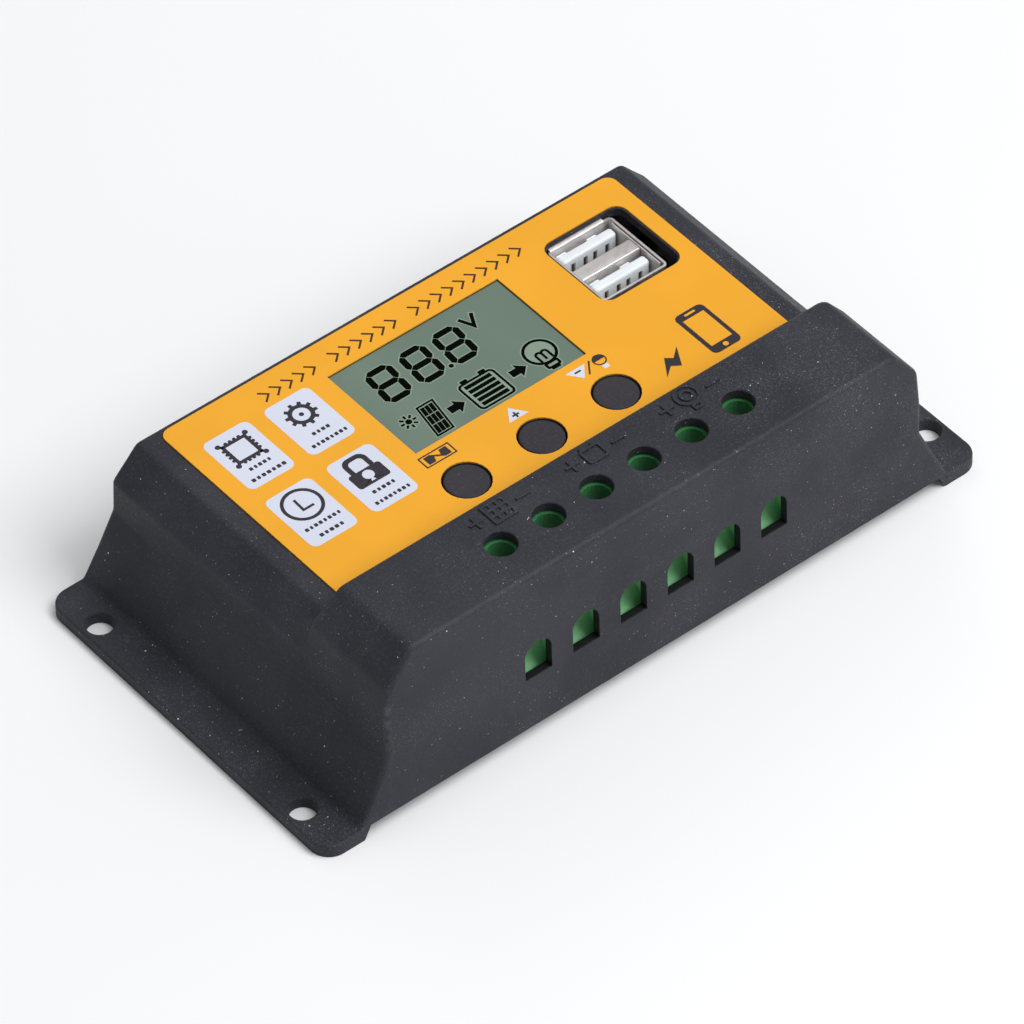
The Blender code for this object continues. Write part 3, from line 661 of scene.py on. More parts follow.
def end_rings(points, place, direction, which):
    """Rings that round an end face off into the walls. The first one lies in the end face."""
    rings = []
    for step in range(ROUND_STEPS + 1):
        turn = math.radians(90 * step / ROUND_STEPS)
        ring = []
        for (x, z), inward, roundings in points:
            x += inward.x * roundings[which] * (1 - math.sin(turn))
            z += inward.y * roundings[which] * (1 - math.sin(turn))
            ring.append((x, place(z) + direction * roundings[which] * (1 - math.cos(turn)), z))
        rings.append(ring)
    return rings


def case_outside():
    """From the front to the back. Behind the riser the housing's side walls ease over into the deck's."""
    housing, deck = section(HOUSING_CORNERS), section(DECK_CORNERS)
    rings = end_rings(housing, front_y, 1, 0)
    riser = end_rings(housing, riser_y, -1, 1)[::-1]
    rings += riser
    for behind, share in BLEND:
        ring = []
        for (x, z), _, (*_, blend) in deck:
            ring.append((x, riser_y(z) + behind * min(1.0, blend * 2), z))
        for i, (*_, (*_, blend)) in enumerate(deck):
            if blend:
                there = Vector(riser[-1][i])
                x, y, z = ring[i]
                ring[i] = (x + (there.x - x) * blend * share, y, z + (there.z - z) * blend * share)
        rings.append(ring)
    rings += end_rings(deck, back_y, -1, 0)[::-1]
    return loft(rings)


def flange(side):
    """One mounting flange. Its outer corners are rounded in plan, and its edges too."""
    reach = (HALF_LENGTH - FLANGE_CORNER, HALF_DEPTH - FLANGE_CORNER)
    outline = [(FOOT_X + 0.25, -HALF_DEPTH)] + arc((reach[0], -reach[1]), FLANGE_CORNER, -90, 0, 14)
    outline += arc(reach, FLANGE_CORNER, 0, 90, 14) + [(FOOT_X + 0.25, HALF_DEPTH)]
    return slab([(side * x, y) for x, y in outline][::side], 0.0, FLANGE_THICK, 0.45)


def inner_half(shoulder, top_x, top_z):
    flare = [(RIM_X - 1.6, -1.0), (RIM_X - 1.6, 4.6), (FLARE_MID[0] - 1.7, FLARE_MID[1])]
    wall = [(WALL_LOW[0] - WALL, WALL_LOW[1]), (shoulder[0] - WALL, shoulder[1] - 0.6)]
    return flare + wall + [(top_x - 0.7, top_z - CEILING)]


def case_inside():
    housing = inner_half(FRONT_SHOULDER, FRONT_TOP_X, HEIGHT)
    deck = inner_half(BACK_SHOULDER, DECK_X, DECK_Z)
    front = lambda z: front_y(max(z, 0)) + WALL
    riser = lambda z: riser_y(z + CEILING) - WALL
    back = lambda z: back_y(max(z, 0)) - WALL
    rings = []
    for half, place in ((housing, front), (housing, riser), (deck, riser), (deck, back)):
        rings.append([(x, place(z), z) for x, z in half + [(-x, z) for x, z in reversed(half)]])
    return loft(rings)


def posts_and_pilots():
    """The posts that the screws bite into, and the holes up them."""
    top = DECK_Z - CEILING + 0.8
    posts, pilots = [], []
    for sx in (-1, 1):
        for sy in (-1, 1):
            place = (sx * BOSS[0], sy * BOSS[1])
            posts.append(cylinder(place, BOSS_R, BOSS_FOOT, top + (HEIGHT - DECK_Z) * (sy < 0), 32))
            pilots.append(cylinder(place, BOSS_PILOT_R, 0.0, 14.0, 24))
        for y in STANDOFF_Y:
            place = (sx * STANDOFF_X, y)
            posts.append(cylinder(place, STANDOFF_R, STANDOFF_FOOT, top, 32))
            pilots.append(cylinder(place, STANDOFF_PILOT_R, 5.0, 15.0, 24))
    return posts, pilots


def chamfered_hole(place, radius, low, face, cut, spread):
    """A round hole that widens a little where it meets the face."""
    profile = [(radius, low), (radius, face - cut), (radius + spread, face + spread - cut)]
    return turned(profile, place)


def openings():
    holes = []
    for sx in (-1, 1):
        for sy in (-1, 1):
            place = (sx * MOUNT_HOLE[0], sy * MOUNT_HOLE[1])
            holes.append(chamfered_hole(place, MOUNT_HOLE_R, -1, FLANGE_THICK, 0.2, 0.5))
    for pole in POLES:
        place = centre_mm(f"{pole}_screw")
        holes.append(chamfered_hole(place.xy, SCREW_HOLE_R, HEIGHT - 4, HEIGHT, 0.15, 0.55))
        window = arch(place.x, WINDOW_SILL, WINDOW_WIDTH, WINDOW_HEIGHT)
        holes.append(prism(window, "y", -HALF_DEPTH - 2.0, -HALF_DEPTH + 5.0))
    for name in BUTTONS:
        holes.append(cylinder(centre_mm(f"{name}_button_cap").xy, BUTTON_HOLE_R, *DECK_CUT))
    display_size = [side - 2 * DISPLAY_EDGE for side in (LCD_HIGH - LCD_LOW).xy]
    outlines = (rectangle(LCD.xy, display_size), rectangle(USB_OPENING_CENTRE, USB_OPENING, USB_CORNER, 10))
    return holes + [prism(outline, "z", *DECK_CUT) for outline in outlines]


def cover():
    """The moulded cover, with its edges rounded as the mould rounds them."""
    obj = mesh_object("cover_moulding", case_outside())
    carve(obj, [flange(1), flange(-1)], "UNION")
    carve(obj, [case_inside()])
    posts, pilots = posts_and_pilots()
    carve(obj, posts, "UNION")
    carve(obj, pilots + openings())
    finish_piece(obj, BLACK, smooth=32)
    even = obj.modifiers.new("even shading", "WEIGHTED_NORMAL")
    even.keep_sharp = True
    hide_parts("top_cover")


SYMBOL_HEIGHT = 0.3
SYMBOL_Y = -20.0
SYMBOL_OFFSET = 0.4
SYMBOL_STROKE = 0.46
SIGN_STROKES = (((-6.7, 0.0), (-4.1, 0.0)), ((-5.4, -1.3), (-5.4, 1.3)), ((2.5, 0.0), (5.2, 0.0)))


def raised_symbols():
    """Plus, picture and minus behind each pair of screw holes, standing up from the housing."""
    low, high = HEIGHT - 0.2, HEIGHT + SYMBOL_HEIGHT
    shapes, cells = [], []
    for block, picture in zip(BLOCKS, (panel_picture, battery_picture, bulb_picture)):
        middle = centre_mm(f"{block}_terminal_block").x + SYMBOL_OFFSET
        for start, end in SIGN_STROKES:
            outline = moved(bar(start, end, SYMBOL_STROKE), (middle, SYMBOL_Y))
            shapes.append(prism(outline, "z", low, high))
        drawn, sunk = picture((middle - 1.0, SYMBOL_Y), low, high)
        shapes += drawn
        cells += sunk
    obj = mesh_object("raised_symbols", shapes[0])
    carve(obj, shapes[1:], "UNION")
    carve(obj, cells)
    soften(obj, 0.07, 2)
    finish_piece(obj, BLACK, smooth=32)


def panel_picture(centre, low, high):
    """A square pad with nine sunk cells."""
    cells = []
    for column in (-1, 0, 1):
        for row in (-1, 0, 1):
            place = (centre[0] + 1.35 * column, centre[1] + 1.35 * row)
            cells.append(prism(rectangle(place, (0.8, 0.8)), "z", HEIGHT + 0.04, high + 1))
    return [prism(rectangle(centre, (4.5, 4.5), 0.15, 2), "z", low, high)], cells


def battery_picture(centre, low, high):
    x, y = centre
    drawn = [tube(rectangle(centre, (3.9, 3.3), 0.6), rectangle(centre, (3.1, 2.5), 0.3), low, high)]
    for dx in (-1.1, 1.1):
        drawn.append(box((x + dx - 0.4, y + 1.5, low), (x + dx + 0.4, y + 2.1, high)))
    return drawn, []


def bulb_picture(centre, low, high):
    glass, base = (centre[0], centre[1] + 0.5), (centre[0], centre[1] - 2.25)
    rings = (
        (circle(glass, 2.25), circle(glass, 1.75)),
        (circle(glass, 1.2, 40), circle(glass, 0.8, 40)),
        (rectangle(base, (1.8, 1.3), 0.35), rectangle(base, (0.9, 0.5), 0.15)),
    )
    return [tube(outer, inner, low, high) for outer, inner in rings], []


# Printing on the label and the display

LIFT = 0.0012
LIFTS = 12


class Ink:
    """Flat shapes of one colour, each a thin slab that stands a little above the surface.

    Each lies a hair higher than the one before, so that crossing shapes don't share a plane.
    """

    def __init__(self, surface_z, layer):
        self.bm = bmesh.new()
        self.low = surface_z - 0.08
        self.level = surface_z + 0.02 * layer
        self.count = 0

    def high(self):
        self.count += 1
        return self.level + LIFT * (self.count % LIFTS)

    def shape(self, outline):
        prism(outline, "z", self.low, self.high(), self.bm)

    def ring(self, outer, inner):
        tube(outer, inner, self.low, self.high(), self.bm)

    def line(self, points, width):
        self.shape(stroke(points, width))

    def done(self, name, surface, slot):
        return piece(name, self.bm, surface)


TILE_SIZE = (9.0, 12.8)
TILE_CORNER = 1.25
CHIP_TILE = (-37.56, 19.6)
GEAR_TILE = (-25.7, 19.4)
CLOCK_TILE = (-37.8, 3.74)
LOCK_TILE = (-25.94, 3.55)
PHONE = (35.1, -4.65)
PHONE_SIZE = (5.7, 10.4)


def tile_icons(ink, tile):
    tiles = (  # place, icon, its height over the middle, lengths of the two caption rows
        (CHIP_TILE, chip_icon, 1.7, (4.4, 6.9)),
        (GEAR_TILE, gear_icon, 2.0, (3.6, 7.1)),
        (CLOCK_TILE, clock_icon, 2.2, (7.1, 4.9)),
        (LOCK_TILE, lock_icon, 2.0, (4.6, 7.0)),
    )
    for (x, y), icon, rise, _ in tiles:
        tile.shape(rectangle((x, y), TILE_SIZE, TILE_CORNER))
        icon(ink, (x, y + rise))
    for (x, y), _, _, lengths in tiles:
        for row, length in enumerate(lengths):
            caption_bars(ink, (x + 0.2, y - 2.6 - 2.2 * row), length)


def caption_bars(ink, centre, length):
    """A broken line of short dashes, where a caption would be."""
    dashes = round(length / 0.93)
    pitch = length / dashes
    for i in range(dashes):
        x = centre[0] - length / 2 + (i + 0.5) * pitch
        ink.shape(rectangle((x, centre[1]), (pitch - 0.3 - 0.14 * (i % 3 == 1), 0.7), 0.12, 2))


def chip_icon(ink, centre):
    half, width = 2.15, 0.62
    ink.ring(rectangle(centre, (2 * half + width, 2 * half + width), 0.25),
             rectangle(centre, (2 * half - width, 2 * half - width), 0.15))
    for side in range(4):
        for step in (-1.29, -0.43, 0.43, 1.29):
            ink.shape(moved(circle((step, half + 0.4), 0.31, 20), centre, 90 * side))
        ink.shape(moved(circle((half + 0.52, half + 0.52), 0.48, 20), centre, 90 * side))
        ink.shape(moved(bar((half - 0.1, half - 0.1), (half + 0.5, half + 0.5), 0.5), centre, 90 * side))


def gear_icon(ink, centre):
    ink.ring(circle(centre, 2.2), circle(centre, 1.45))
    for i in range(10):
        tooth = [(-0.36, 2.05), (0.36, 2.05), (0.3, 2.78), (-0.3, 2.78)]
        ink.shape(moved(tooth, centre, 36 * i + 8))
    ink.shape(circle(centre, 0.42, 24))


def clock_icon(ink, centre):
    ink.ring(circle(centre, 3.5), circle(centre, 2.9))
    hands = [(-0.5, 1.55), (-0.6, -1.05), (1.45, -1.05)]
    ink.line(moved(hands, centre), 0.46)


def lock_icon(ink, centre):
    """A padlock whose keyhole shows the tile through it."""
    body = rectangle((0, -1.35), (6.1, 3.4), 0.55, 15)
    hole = circle((0, -1.05), 1.0, len(body) - 3)
    lowest = min(range(len(hole)), key=lambda i: hole[i][1])
    notch = [(-0.3, -1.98), (-0.42, -2.55), (0.42, -2.55), (0.3, -1.98)]
    ink.ring(moved(body, centre), moved(hole[:lowest] + notch + hole[lowest + 1:], centre))
    outer = arc((0.75, 2.15), 1.5, 0, 90, 10) + arc((-0.75, 2.15), 1.5, 90, 180, 10)
    inner = arc((-0.55, 1.95), 0.8, 180, 90, 10) + arc((0.55, 1.95), 0.8, 90, 0, 10)
    shackle = [(2.25, 0.3), *outer, (-2.25, 0.3), (-1.35, 0.3), *inner, (1.35, 0.3)]
    ink.shape(moved(shackle, centre))


HEADING_Y = 28.2
HEADING_START = -28.2
HEADING_GROUPS = (5, 6, 10)
HEADING_PITCH = 2.31
HEADING_HEIGHT = 2.4
THIN = 0.34


def heading(ink):
    """A strip of slim arrowheads in three groups, pointing the way that the current flows."""
    x = HEADING_START
    low, high = HEADING_Y - HEADING_HEIGHT / 2, HEADING_Y + HEADING_HEIGHT / 2
    for count in HEADING_GROUPS:
        for _ in range(count):
            ink.line([(x, low), (x + 1.35, HEADING_Y), (x, high)], THIN)
            x += HEADING_PITCH
        x += HEADING_PITCH


def button_marks(ink, tile):
    """Marks behind the buttons: a boxed bolt, a triangle up with a plus, and one down with a minus."""
    box_place = (-15.15, 0.85)
    ink.ring(rectangle(box_place, (6.0, 2.6), 0.1, 2), rectangle(box_place, (5.55, 2.15), 0.05, 2))
    half_bolt = [(-2.2, -0.85), (-0.9, -0.85), (-0.55, 0.15), (1.0, -0.85), (2.2, -0.85)]
    ink.shape(moved(half_bolt + moved(half_bolt, (0, 0), 180), box_place))
    tile.shape([(-2.1, -0.85), (1.75, -0.85), (-0.25, 1.9)])
    ink.line([(-0.85, -0.05), (0.45, -0.05)], THIN)
    ink.line([(-0.2, -0.7), (-0.2, 0.6)], THIN)
    tile.shape([(13.2, -0.75), (15.15, 1.75), (11.3, 1.75)])
    ink.line([(12.6, 1.0), (13.85, 1.0)], THIN)
    ink.line([(14.35, -0.6), (16.1, 1.8)], 0.28)
    bulb = (17.55, 0.95)
    ink.ring(circle(bulb, 1.2), circle(bulb, 0.98))
    ink.shape([bulb] + arc(bulb, 1.05, 0, 180, 20))
    tile.shape(rectangle((17.55, -0.75), (1.1, 0.9), 0.2))


def bolt_and_phone(ink, screen):
    ink.shape([(26.68, -8.3), (25.22, -7.32), (23.24, -8.87), (25.57, -5.29), (26.7, -6.23), (28.71, -4.57)])
    x, y = PHONE
    width, length = PHONE_SIZE
    ink.shape(rectangle(PHONE, PHONE_SIZE, 1.0))
    screen.shape(rectangle((x, y + 0.1), (width - 1.5, length - 3.4)))
    screen.shape(circle((x, y - length / 2 + 0.85), 0.48, 32))
    screen.shape(rectangle((x, y + length / 2 - 0.75), (2.1, 0.42), 0.15))


def label():
    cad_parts["face_label"].data.materials[0] = YELLOW
    tile, ink = Ink(LABEL_TOP, 1), Ink(LABEL_TOP, 2)
    title, screen = Ink(LABEL_TOP, 1), Ink(LABEL_TOP, 3)
    tile_icons(ink, tile)
    heading(title)
    button_marks(ink, tile)
    bolt_and_phone(ink, screen)
    tile.done("label_white_tiles", TILE, "label_yellow")
    ink.done("label_dark_marks", INK, "label_yellow")
    title.done("label_heading_strip", HEADING_INK, "label_yellow")
    screen.done("label_phone_screen", YELLOW, "label_yellow")


# Display

DIGIT_SIZE = (5.25, 7.9)
DIGIT_STROKE = 1.15
DIGIT_BASE = 14.3
DIGIT_STARTS = (-13.75, -7.0, -0.35)
DIGIT_SLANT = 0.075
# How far the painted halo of light reaches past each segment.
HALO_WIDTH = 0.24


class Segments:
    """Black display shapes, each on a paler one that shows round it as a painted halo of light."""

    def __init__(self):
        self.black = Ink(LCD_TOP, 3)
        self.painted_light = Ink(LCD_TOP, 1)

    def shape(self, outline, hollow=None):
        self.painted_light.shape(grown(outline, HALO_WIDTH))
        if hollow:
            self.black.ring(outline, hollow)
        else:
            self.black.shape(outline)

    def line(self, points, width):
        self.shape(stroke(points, width))


def pointed_bar(start, end, width):
    """A bar with pointed ends, as in a seven-segment digit."""
    a, b = Vector(start), Vector(end)
    along = (b - a).normalized() * width / 2
    side = along.orthogonal()
    left, right = (a + along + side, b - along + side), (b - along - side, a + along - side)
    return [tuple(p) for p in (a, *left, b, *right)]


def digit(segments, left):
    """All seven segments of one digit."""
    width, height = DIGIT_SIZE[0] - DIGIT_STROKE, (DIGIT_SIZE[1] - DIGIT_STROKE) / 2
    gap = 0.08
    for row in range(3):
        y = row * height
        segments.shape(slanted(left, pointed_bar((gap, y), (width - gap, y), DIGIT_STROKE)))
    for row in range(2):
        for x in (0, width):
            ends = ((x, row * height + gap), (x, (row + 1) * height - gap))
            segments.shape(slanted(left, pointed_bar(*ends, DIGIT_STROKE)))


def slanted(left, outline):
    half = DIGIT_STROKE / 2
    return [(left + half + x + DIGIT_SLANT * y, DIGIT_BASE + half + y) for x, y in outline]


def block_arrow(segments, centre):
    outline = [(-1.5, -0.72), (0.0, -0.72), (0.0, -1.5), (1.6, 0.0), (0.0, 1.5), (0.0, 0.72), (-1.5, 0.72)]
    segments.shape(moved(outline, centre))


def lcd_sun(segments, centre):
    segments.shape(circle(centre, 0.55, 24))
    for i in range(8):
        segments.shape(moved([(-0.19, 0.8), (0.19, 0.8), (0.19, 1.5), (-0.19, 1.5)], centre, 45 * i))


def lcd_panel_picture(segments):
    """A leaning solar panel: a frame with rows of cells."""
    corner, lean, width, height = (-12.35, 4.2), 1.25, 3.4, 7.1

    def patch(u, v, wide, high):
        corners = ((u, v), (u + wide, v), (u + wide, v + high), (u, v + high))
        return [(corner[0] + a * width + b * lean, corner[1] + b * height) for a, b in corners]

    segments.shape(patch(0.0, 0.0, 1.0, 1.0), patch(0.1, 0.048, 0.8, 0.904))
    for row in range(3):
        for column in range(3):
            segments.black.shape(patch(0.15 + 0.245 * column, 0.075 + 0.29 * row, 0.21, 0.262))


def lcd_battery(segments):
    centre, size = (0.15, 7.45), (7.1, 6.6)
    segments.shape(rectangle(centre, size, 0.9), rectangle(centre, (size[0] - 0.8, size[1] - 0.8), 0.6))
    for dx in (-1.8, 1.8):
        segments.shape(rectangle((centre[0] + dx, centre[1] + size[1] / 2 + 0.3), (1.3, 0.6)))
    for row in range(5):
        y = centre[1] - 2.2 + 1.1 * row
        segments.shape(bar((centre[0] - 2.6, y), (centre[0] + 2.6, y), 0.76))


def lcd_bulb(segments):
    x, y = 11.7, 8.5
    segments.shape(circle((x, y), 2.9, 48), circle((x, y), 2.4, 48))
    for side in (-1, 1):
        arch_line = arc((x + side * 0.55, y - 0.55), 0.55, 0, 180, 10)
        arch_line = [(x + side * 1.1, y - 2.1), *arch_line[::side], (x, y - 1.9)]
        segments.line(arch_line, 0.42)
    segments.shape(rectangle((x, y - 3.3), (2.7, 1.4), 0.35), rectangle((x, y - 3.3), (1.8, 0.6), 0.15))
    segments.shape(rectangle((x, y - 4.2), (1.7, 0.5), 0.2))


def display():
    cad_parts["lcd_panel"].data.materials[0] = GLASS
    segments = Segments()
    for left in DIGIT_STARTS:
        digit(segments, left)
    segments.shape(circle((-0.85, 15.0), 0.42, 24))
    segments.line([(6.4, 22.2), (7.6, 19.6), (8.95, 22.2)], 0.62)
    lcd_sun(segments, (-13.75, 9.65))
    lcd_panel_picture(segments)
    block_arrow(segments, (-5.9, 7.45))
    lcd_battery(segments)
    block_arrow(segments, (6.5, 7.45))
    lcd_bulb(segments)
    segments.black.done("lcd_segments", SEGMENT, "lcd_glass")
    segments.painted_light.done("lcd_segment_painted_halo", PAINTED_HALO, "lcd_glass")


# Buttons

CAP_FIT = 0.12


def button_cap(name):
    low, high = box_mm(f"{name}_button_cap")
    place, flange_r = centre_mm(f"{name}_button_cap").xy, (high.x - low.x) / 2
    cap_r, edge, dome = flange_r - 0.9 + CAP_FIT, 0.4, 0.15
    shoulder = high.z - dome - edge
    profile = [(flange_r, low.z), (flange_r, low.z + 0.9), (cap_r, low.z + 0.9), (cap_r, shoulder)]
    profile += [(cap_r - edge + x, shoulder + z) for x, z in arc((0, 0), edge, 15, 90, 5)]
    for step in range(1, 8):
        share = 1 - step / 8
        profile.append(((cap_r - edge) * share, high.z - dome * share * share))
    bm = turned(profile, place)
    cap = piece(f"{name}_cap_moulding", bm, BUTTON_BLACK, f"{name}_button", 35)
    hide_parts(f"{name}_button_cap")


# USB outlet

USB_WALL = 0.4
USB_PORT = 5.4
TONGUE_HALF = 5.55
TONGUE_Y = (0.1, 2.0)
CONTACTS_X = (-3.5, -1.0, 1.0, 3.5)
LUGS_X = (-4.3, 1.9)
SLOT_DROP = 1.2


def usb_ports():
    offset = (USB_HIGH.y - USB_LOW.y - 2 * USB_WALL - USB_PORT) / 2
    return [USB.y - offset, USB.y + offset]


def usb_outlet():
    """Folded steel shell with its lip, lining and springs, and the tongues with their sunk contacts."""
    size = (USB_HIGH.x - USB_LOW.x, USB_HIGH.y - USB_LOW.y)
    inside = (size[0] - 2 * USB_WALL, size[1] - 2 * USB_WALL)
    outline, opening = rectangle(USB.xy, size, 0.8, 8), rectangle(USB.xy, inside, 0.4, 8)
    shell = mesh_object("usb_shell_folded", tube(outline, opening, USB_LOW.z, USB_HIGH.z))
    floor = USB_LOW.z + 2.3
    reach = inside[0] / 2
    divider = inside[1] / 2 - USB_PORT
    fold = mesh_object("divider", box((USB.x - reach - 0.1, USB.y - divider, floor),
                                      (USB.x + reach - 0.5, USB.y + divider, USB_HIGH.z - 0.1)))
    soften(fold, 0.28, 3)
    foot = box((USB.x - reach, USB_LOW.y - 1, USB_LOW.z - 1), (USB.x + reach, USB_HIGH.y + 1, floor))
    carve(shell, [fold], "UNION")
    carve(shell, [foot])
    soften(shell, 0.1, 2)
    finish_piece(shell, STEEL, smooth=35)
    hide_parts("usb_shell")
    folds = bmesh.new()
    back, top = USB_HIGH.y - USB_WALL, USB_HIGH.z
    lip = [(0.02, -0.5), (0.02, -0.02), (0.2, 0.1), (0.95, 0.1), (0.95, -0.15)]
    prism(moved(lip, (back, top)), "x", USB.x - 6.0, USB.x + 5.0, folds)
    lining_x = USB.x + reach - 0.42
    box((lining_x, USB_LOW.y + 1.2, floor), (lining_x + 0.22, USB_HIGH.y - 1.2, top - 0.25), folds)
    for port in usb_ports():
        for dx in (-3.0, 3.0):
            spring_finger((USB.x + dx, port + USB_PORT / 2), folds)
    piece("usb_shell_folds", folds, STEEL, smooth=35)
    usb_tongues()


def spring_finger(place, bm):
    """A narrow strip that leans out of the shell's wall and back towards it at its tip."""
    x, wall = place
    top = USB_HIGH.z - 3.4
    path = [(wall + 0.05, top - 7.5), (wall - 0.4, top - 2.2), (wall - 0.2, top)]
    outline = path + [(y + 0.2, z) for y, z in reversed(path)]
    prism(outline, "x", x - 0.8, x + 0.8, bm)


def usb_tongues():
    low, high = box_mm("usb_insulator")
    moulding = mesh_object("usb_tongue_moulding", box(low, (high.x, high.y, low.z + 2.0)))
    shapes, slots, contacts = [], [], bmesh.new()
    for port in usb_ports():
        face, back = port + TONGUE_Y[0], port + TONGUE_Y[1]
        tongue = rectangle((USB.x, (face + back) / 2), (2 * TONGUE_HALF, back - face), 0.6)
        shapes.append(slab(tongue, low.z + 1.0, high.z, 0.5))
        for dx in LUGS_X:
            lug = rectangle((USB.x + dx, back), (2.0, 0.9), 0.25)
            shapes.append(slab(lug, low.z + 1.0, high.z - 0.3, 0.2))
        for dx in CONTACTS_X:
            slot = rectangle((USB.x + dx, face - 0.1), (0.84, 1.8))
            slots.append(prism(slot, "z", high.z - 8.0, high.z - SLOT_DROP))
            strip = rectangle((USB.x + dx, face + 0.55), (0.72, 0.3))
            prism(strip, "z", high.z - 7.6, high.z - SLOT_DROP - 0.4, contacts)
    carve(moulding, shapes, "UNION")
    carve(moulding, slots)
    finish_piece(moulding, WHITE, smooth=35)
    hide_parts("usb_insulator")
    piece("usb_contacts", contacts, CONTACT)


# Screws

THREAD_PITCH = 0.5
THREAD_DEPTH = 0.27
POINT_TAPER = 0.25
CLAMP_RECESS = (1.1, 1.35, 0.5)


def threaded_shank(place, radius, low, high, around=24, per_turn=6):
    """A shaft whose surface winds as a thread, closed at both ends."""
    rows = int((high - low) / THREAD_PITCH * per_turn)
    rings = []
    for row in range(rows + 1):
        z = low + (high - low) * row / rows
        run_out = min(1.0, row / per_turn, (rows - row) / per_turn)
        ring = []
        for i in range(around):
            turn = (z - low) / THREAD_PITCH - i / around
            crest = abs(2 * (turn - math.floor(turn)) - 1)
            reach = radius - THREAD_DEPTH * crest * run_out - POINT_TAPER * (row == 0)
            angle = 2 * math.pi * i / around
            ring.append((place[0] + reach * math.cos(angle), place[1] + reach * math.sin(angle), z))
        rings.append(ring)
    return loft(rings)


def cross_recess(place, face, depth, reach, width, up):
    """Two crossed tapering slots cut into a screw head's face, from above or, with up -1, below."""
    shapes = []
    for turn in (0, 90):
        bm = bmesh.new()
        for z, grow in ((face - up * depth, 0.45), (face + up * 0.4, 1.2)):
            rim = moved(rectangle((0, 0), (2 * reach * grow, width * grow)), place, turn)
            for point in rim:
                bm.verts.new((*point, z))
        bmesh.ops.convex_hull(bm, input=bm.verts)
        shapes.append(bm)
    return shapes


def pan_head(place, radius, base, face, up):
    """A head with a rounded rim, its face above its base or, with up -1, below."""
    rim = 0.35
    profile = [(radius, base), (radius, face - up * rim)]
    profile += [(radius - rim + x, face - up * (rim - z)) for x, z in arc((0, 0), rim, 20, 90, 4)]
    profile += [((radius - rim) * 0.5, face + up * 0.05)]
    return turned(profile, place, 48)


def join_mesh(obj, bm):
    """Adds the shape, drawn in millimetres, to the object's mesh as it is."""
    bmesh.ops.recalc_face_normals(bm, faces=bm.faces)
    bmesh.ops.scale(bm, vec=(MM, MM, MM), verts=bm.verts)
    bm.from_mesh(obj.data)
    bm.to_mesh(obj.data)
    bm.free()


def screw(node, head_height, shank_r, up, recess=None, body="case"):
    """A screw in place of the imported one, with its head above or, with up -1, below.

    The recess is its depth, reach and width.
    """
    low, high = box_mm(node)
    place = centre_mm(node).xy
    head_r = (high.x - low.x) / 2
    face, tip = (high.z, low.z) if up == 1 else (low.z, high.z)
    base = face - up * head_height
    obj = mesh_object(f"{node}_cut", pan_head(place, head_r, base, face - up * 0.05, up))
    depth, reach, width = recess or (0.9, head_r * 0.62, 0.55)
    carve(obj, cross_recess(place, face, depth, reach, width, up))
    join_mesh(obj, threaded_shank(place, shank_r, *sorted((tip, base + up * 0.2))))
    finish_piece(obj, ZINC, body, 35)
    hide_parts(node)


# What is carried over from the solid model, with better materials

CARRIED = {
    "back_plate": ALUMINIUM, "lcd_holder": WHITE, "lcd_backlight": WHITE, "lcd_pin_strip": EPOXY,
    "main_board": MASK, "controller_chip": EPOXY, "usb_regulator_chip": EPOXY,
    "input_capacitor": EPOXY, "output_capacitor": EPOXY, "usb_inductor": FERRITE, "current_shunt": BRASS,
}


def carried_nodes():
    surfaces = dict(CARRIED)
    for name in BUTTONS:
        surfaces[f"{name}_switch_body"] = EPOXY
        surfaces[f"{name}_switch_plunger"] = WHITE
    for block in BLOCKS:
        surfaces[f"{block}_terminal_block"] = GREEN
    for pole in POLES:
        surfaces[f"{pole}_clamp_cage"] = ZINC
        surfaces[f"{pole}_contact"] = BRASS
    for index in (1, 2, 3):
        surfaces[f"mosfet_{index}"] = EPOXY
    for name, surface in surfaces.items():
        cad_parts[name].data.materials[0] = surface


# Floor, light and camera

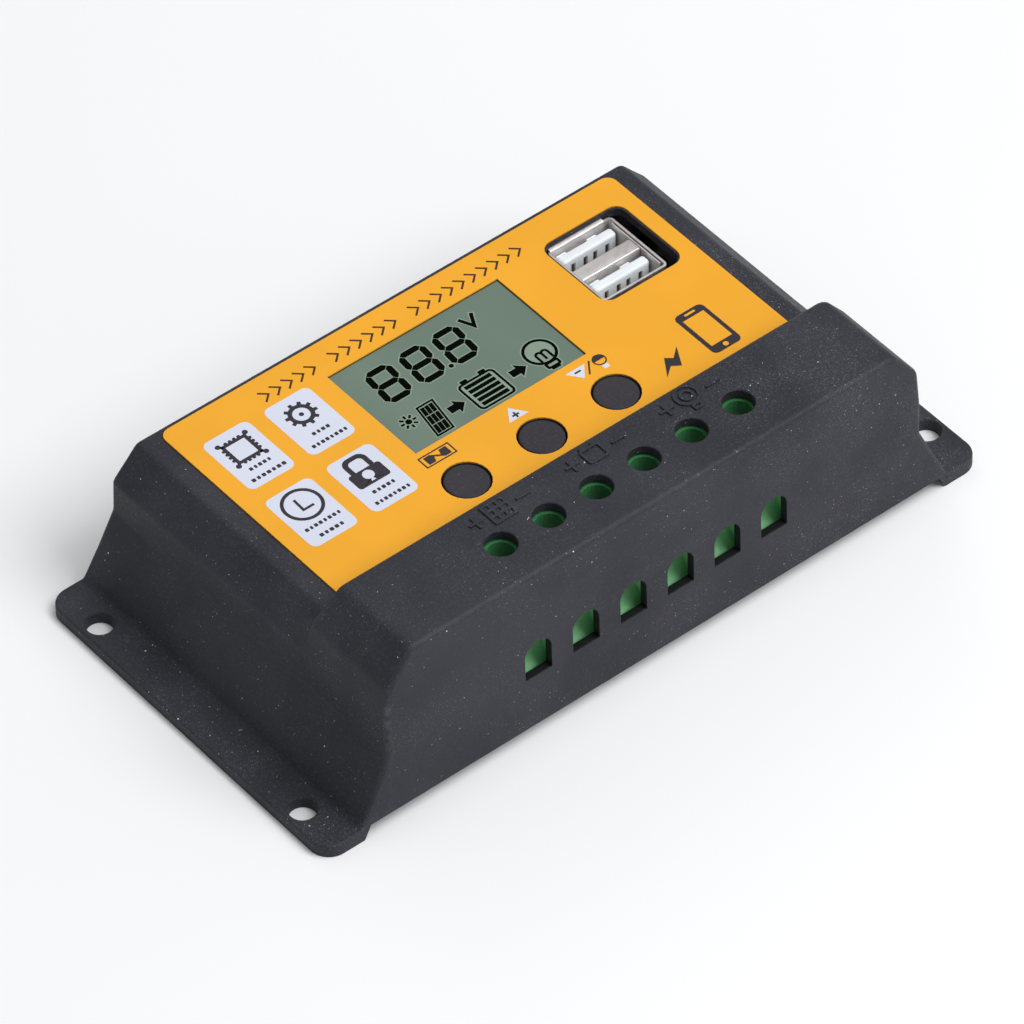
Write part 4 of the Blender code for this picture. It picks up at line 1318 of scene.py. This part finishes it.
def area_light(name, direction, distance, size, power, color=(1.0, 1.0, 1.0)):
    data = bpy.data.lights.new(name, "AREA")
    data.shape = "DISK"
    data.size = size
    data.energy = power
    data.color = color
    light = placed(name, data)
    towards = Vector(direction).normalized()
    light.location = towards * distance
    light.rotation_euler = (-towards).to_track_quat("-Z", "Y").to_euler()


def studio():
    floor = mesh_object("floor", prism(rectangle((0, 0), (6000, 6000)), "z", -20.0, -0.02))
    surface = Surface("floor_pale", 0.9)
    drift = surface.span(surface.noise(0.004, 2.0), 0.3, 0.7)
    surface.color(surface.mix(drift, (0.9, 0.9, 0.9), (0.93, 0.93, 0.93)))
    floor.data.materials.append(surface.material)
    world = bpy.data.worlds.new("studio")
    world.use_nodes = True
    background = world.node_tree.nodes["Background"]
    background.inputs["Color"].default_value = (0.97, 0.98, 1.0, 1.0)
    background.inputs["Strength"].default_value = 0.36
    bpy.context.scene.world = world
    bpy.context.scene.view_settings.view_transform = "Standard"
    area_light("key", (0.45, -0.7, 1.0), 1.6, 1.0, 15.0, (0.98, 0.98, 1.0))
    area_light("fill", (0.2, -0.15, 1.0), 1.8, 1.2, 10.5)
    area_light("card", (0.3, 0.8, 0.6), 1.6, 0.8, 1.6)


def camera():
    data = bpy.data.cameras.new("camera")
    data.lens = CAMERA_LENS
    data.sensor_width = CAMERA_SENSOR
    data.clip_start = 0.05
    data.clip_end = 50.0
    made = placed("camera", data)
    place = Matrix.Translation(CAMERA_LOOKS_AT * MM)
    for turn, axis in ((CAMERA_AZIMUTH, "Z"), (90 - CAMERA_ELEVATION, "X"), (CAMERA_ROLL, "Z")):
        place = place @ Matrix.Rotation(math.radians(turn), 4, axis)
    made.matrix_world = place @ Matrix.Translation(CAMERA_STANDS * MM)
    bpy.context.scene.camera = made


camera()
studio()
carried_nodes()
cover()
raised_symbols()
label()
display()
for button in BUTTONS:
    button_cap(button)
usb_outlet()
for pole_name in POLES:
    screw(f"{pole_name}_screw", 1.6, 1.45, 1, CLAMP_RECESS, f"{pole_name}_screw_body")
for number in (1, 2, 3, 4):
    screw(f"plate_screw_{number}", 1.5, 1.2, -1)
    screw(f"board_screw_{number}", 1.4, 1.0, -1)
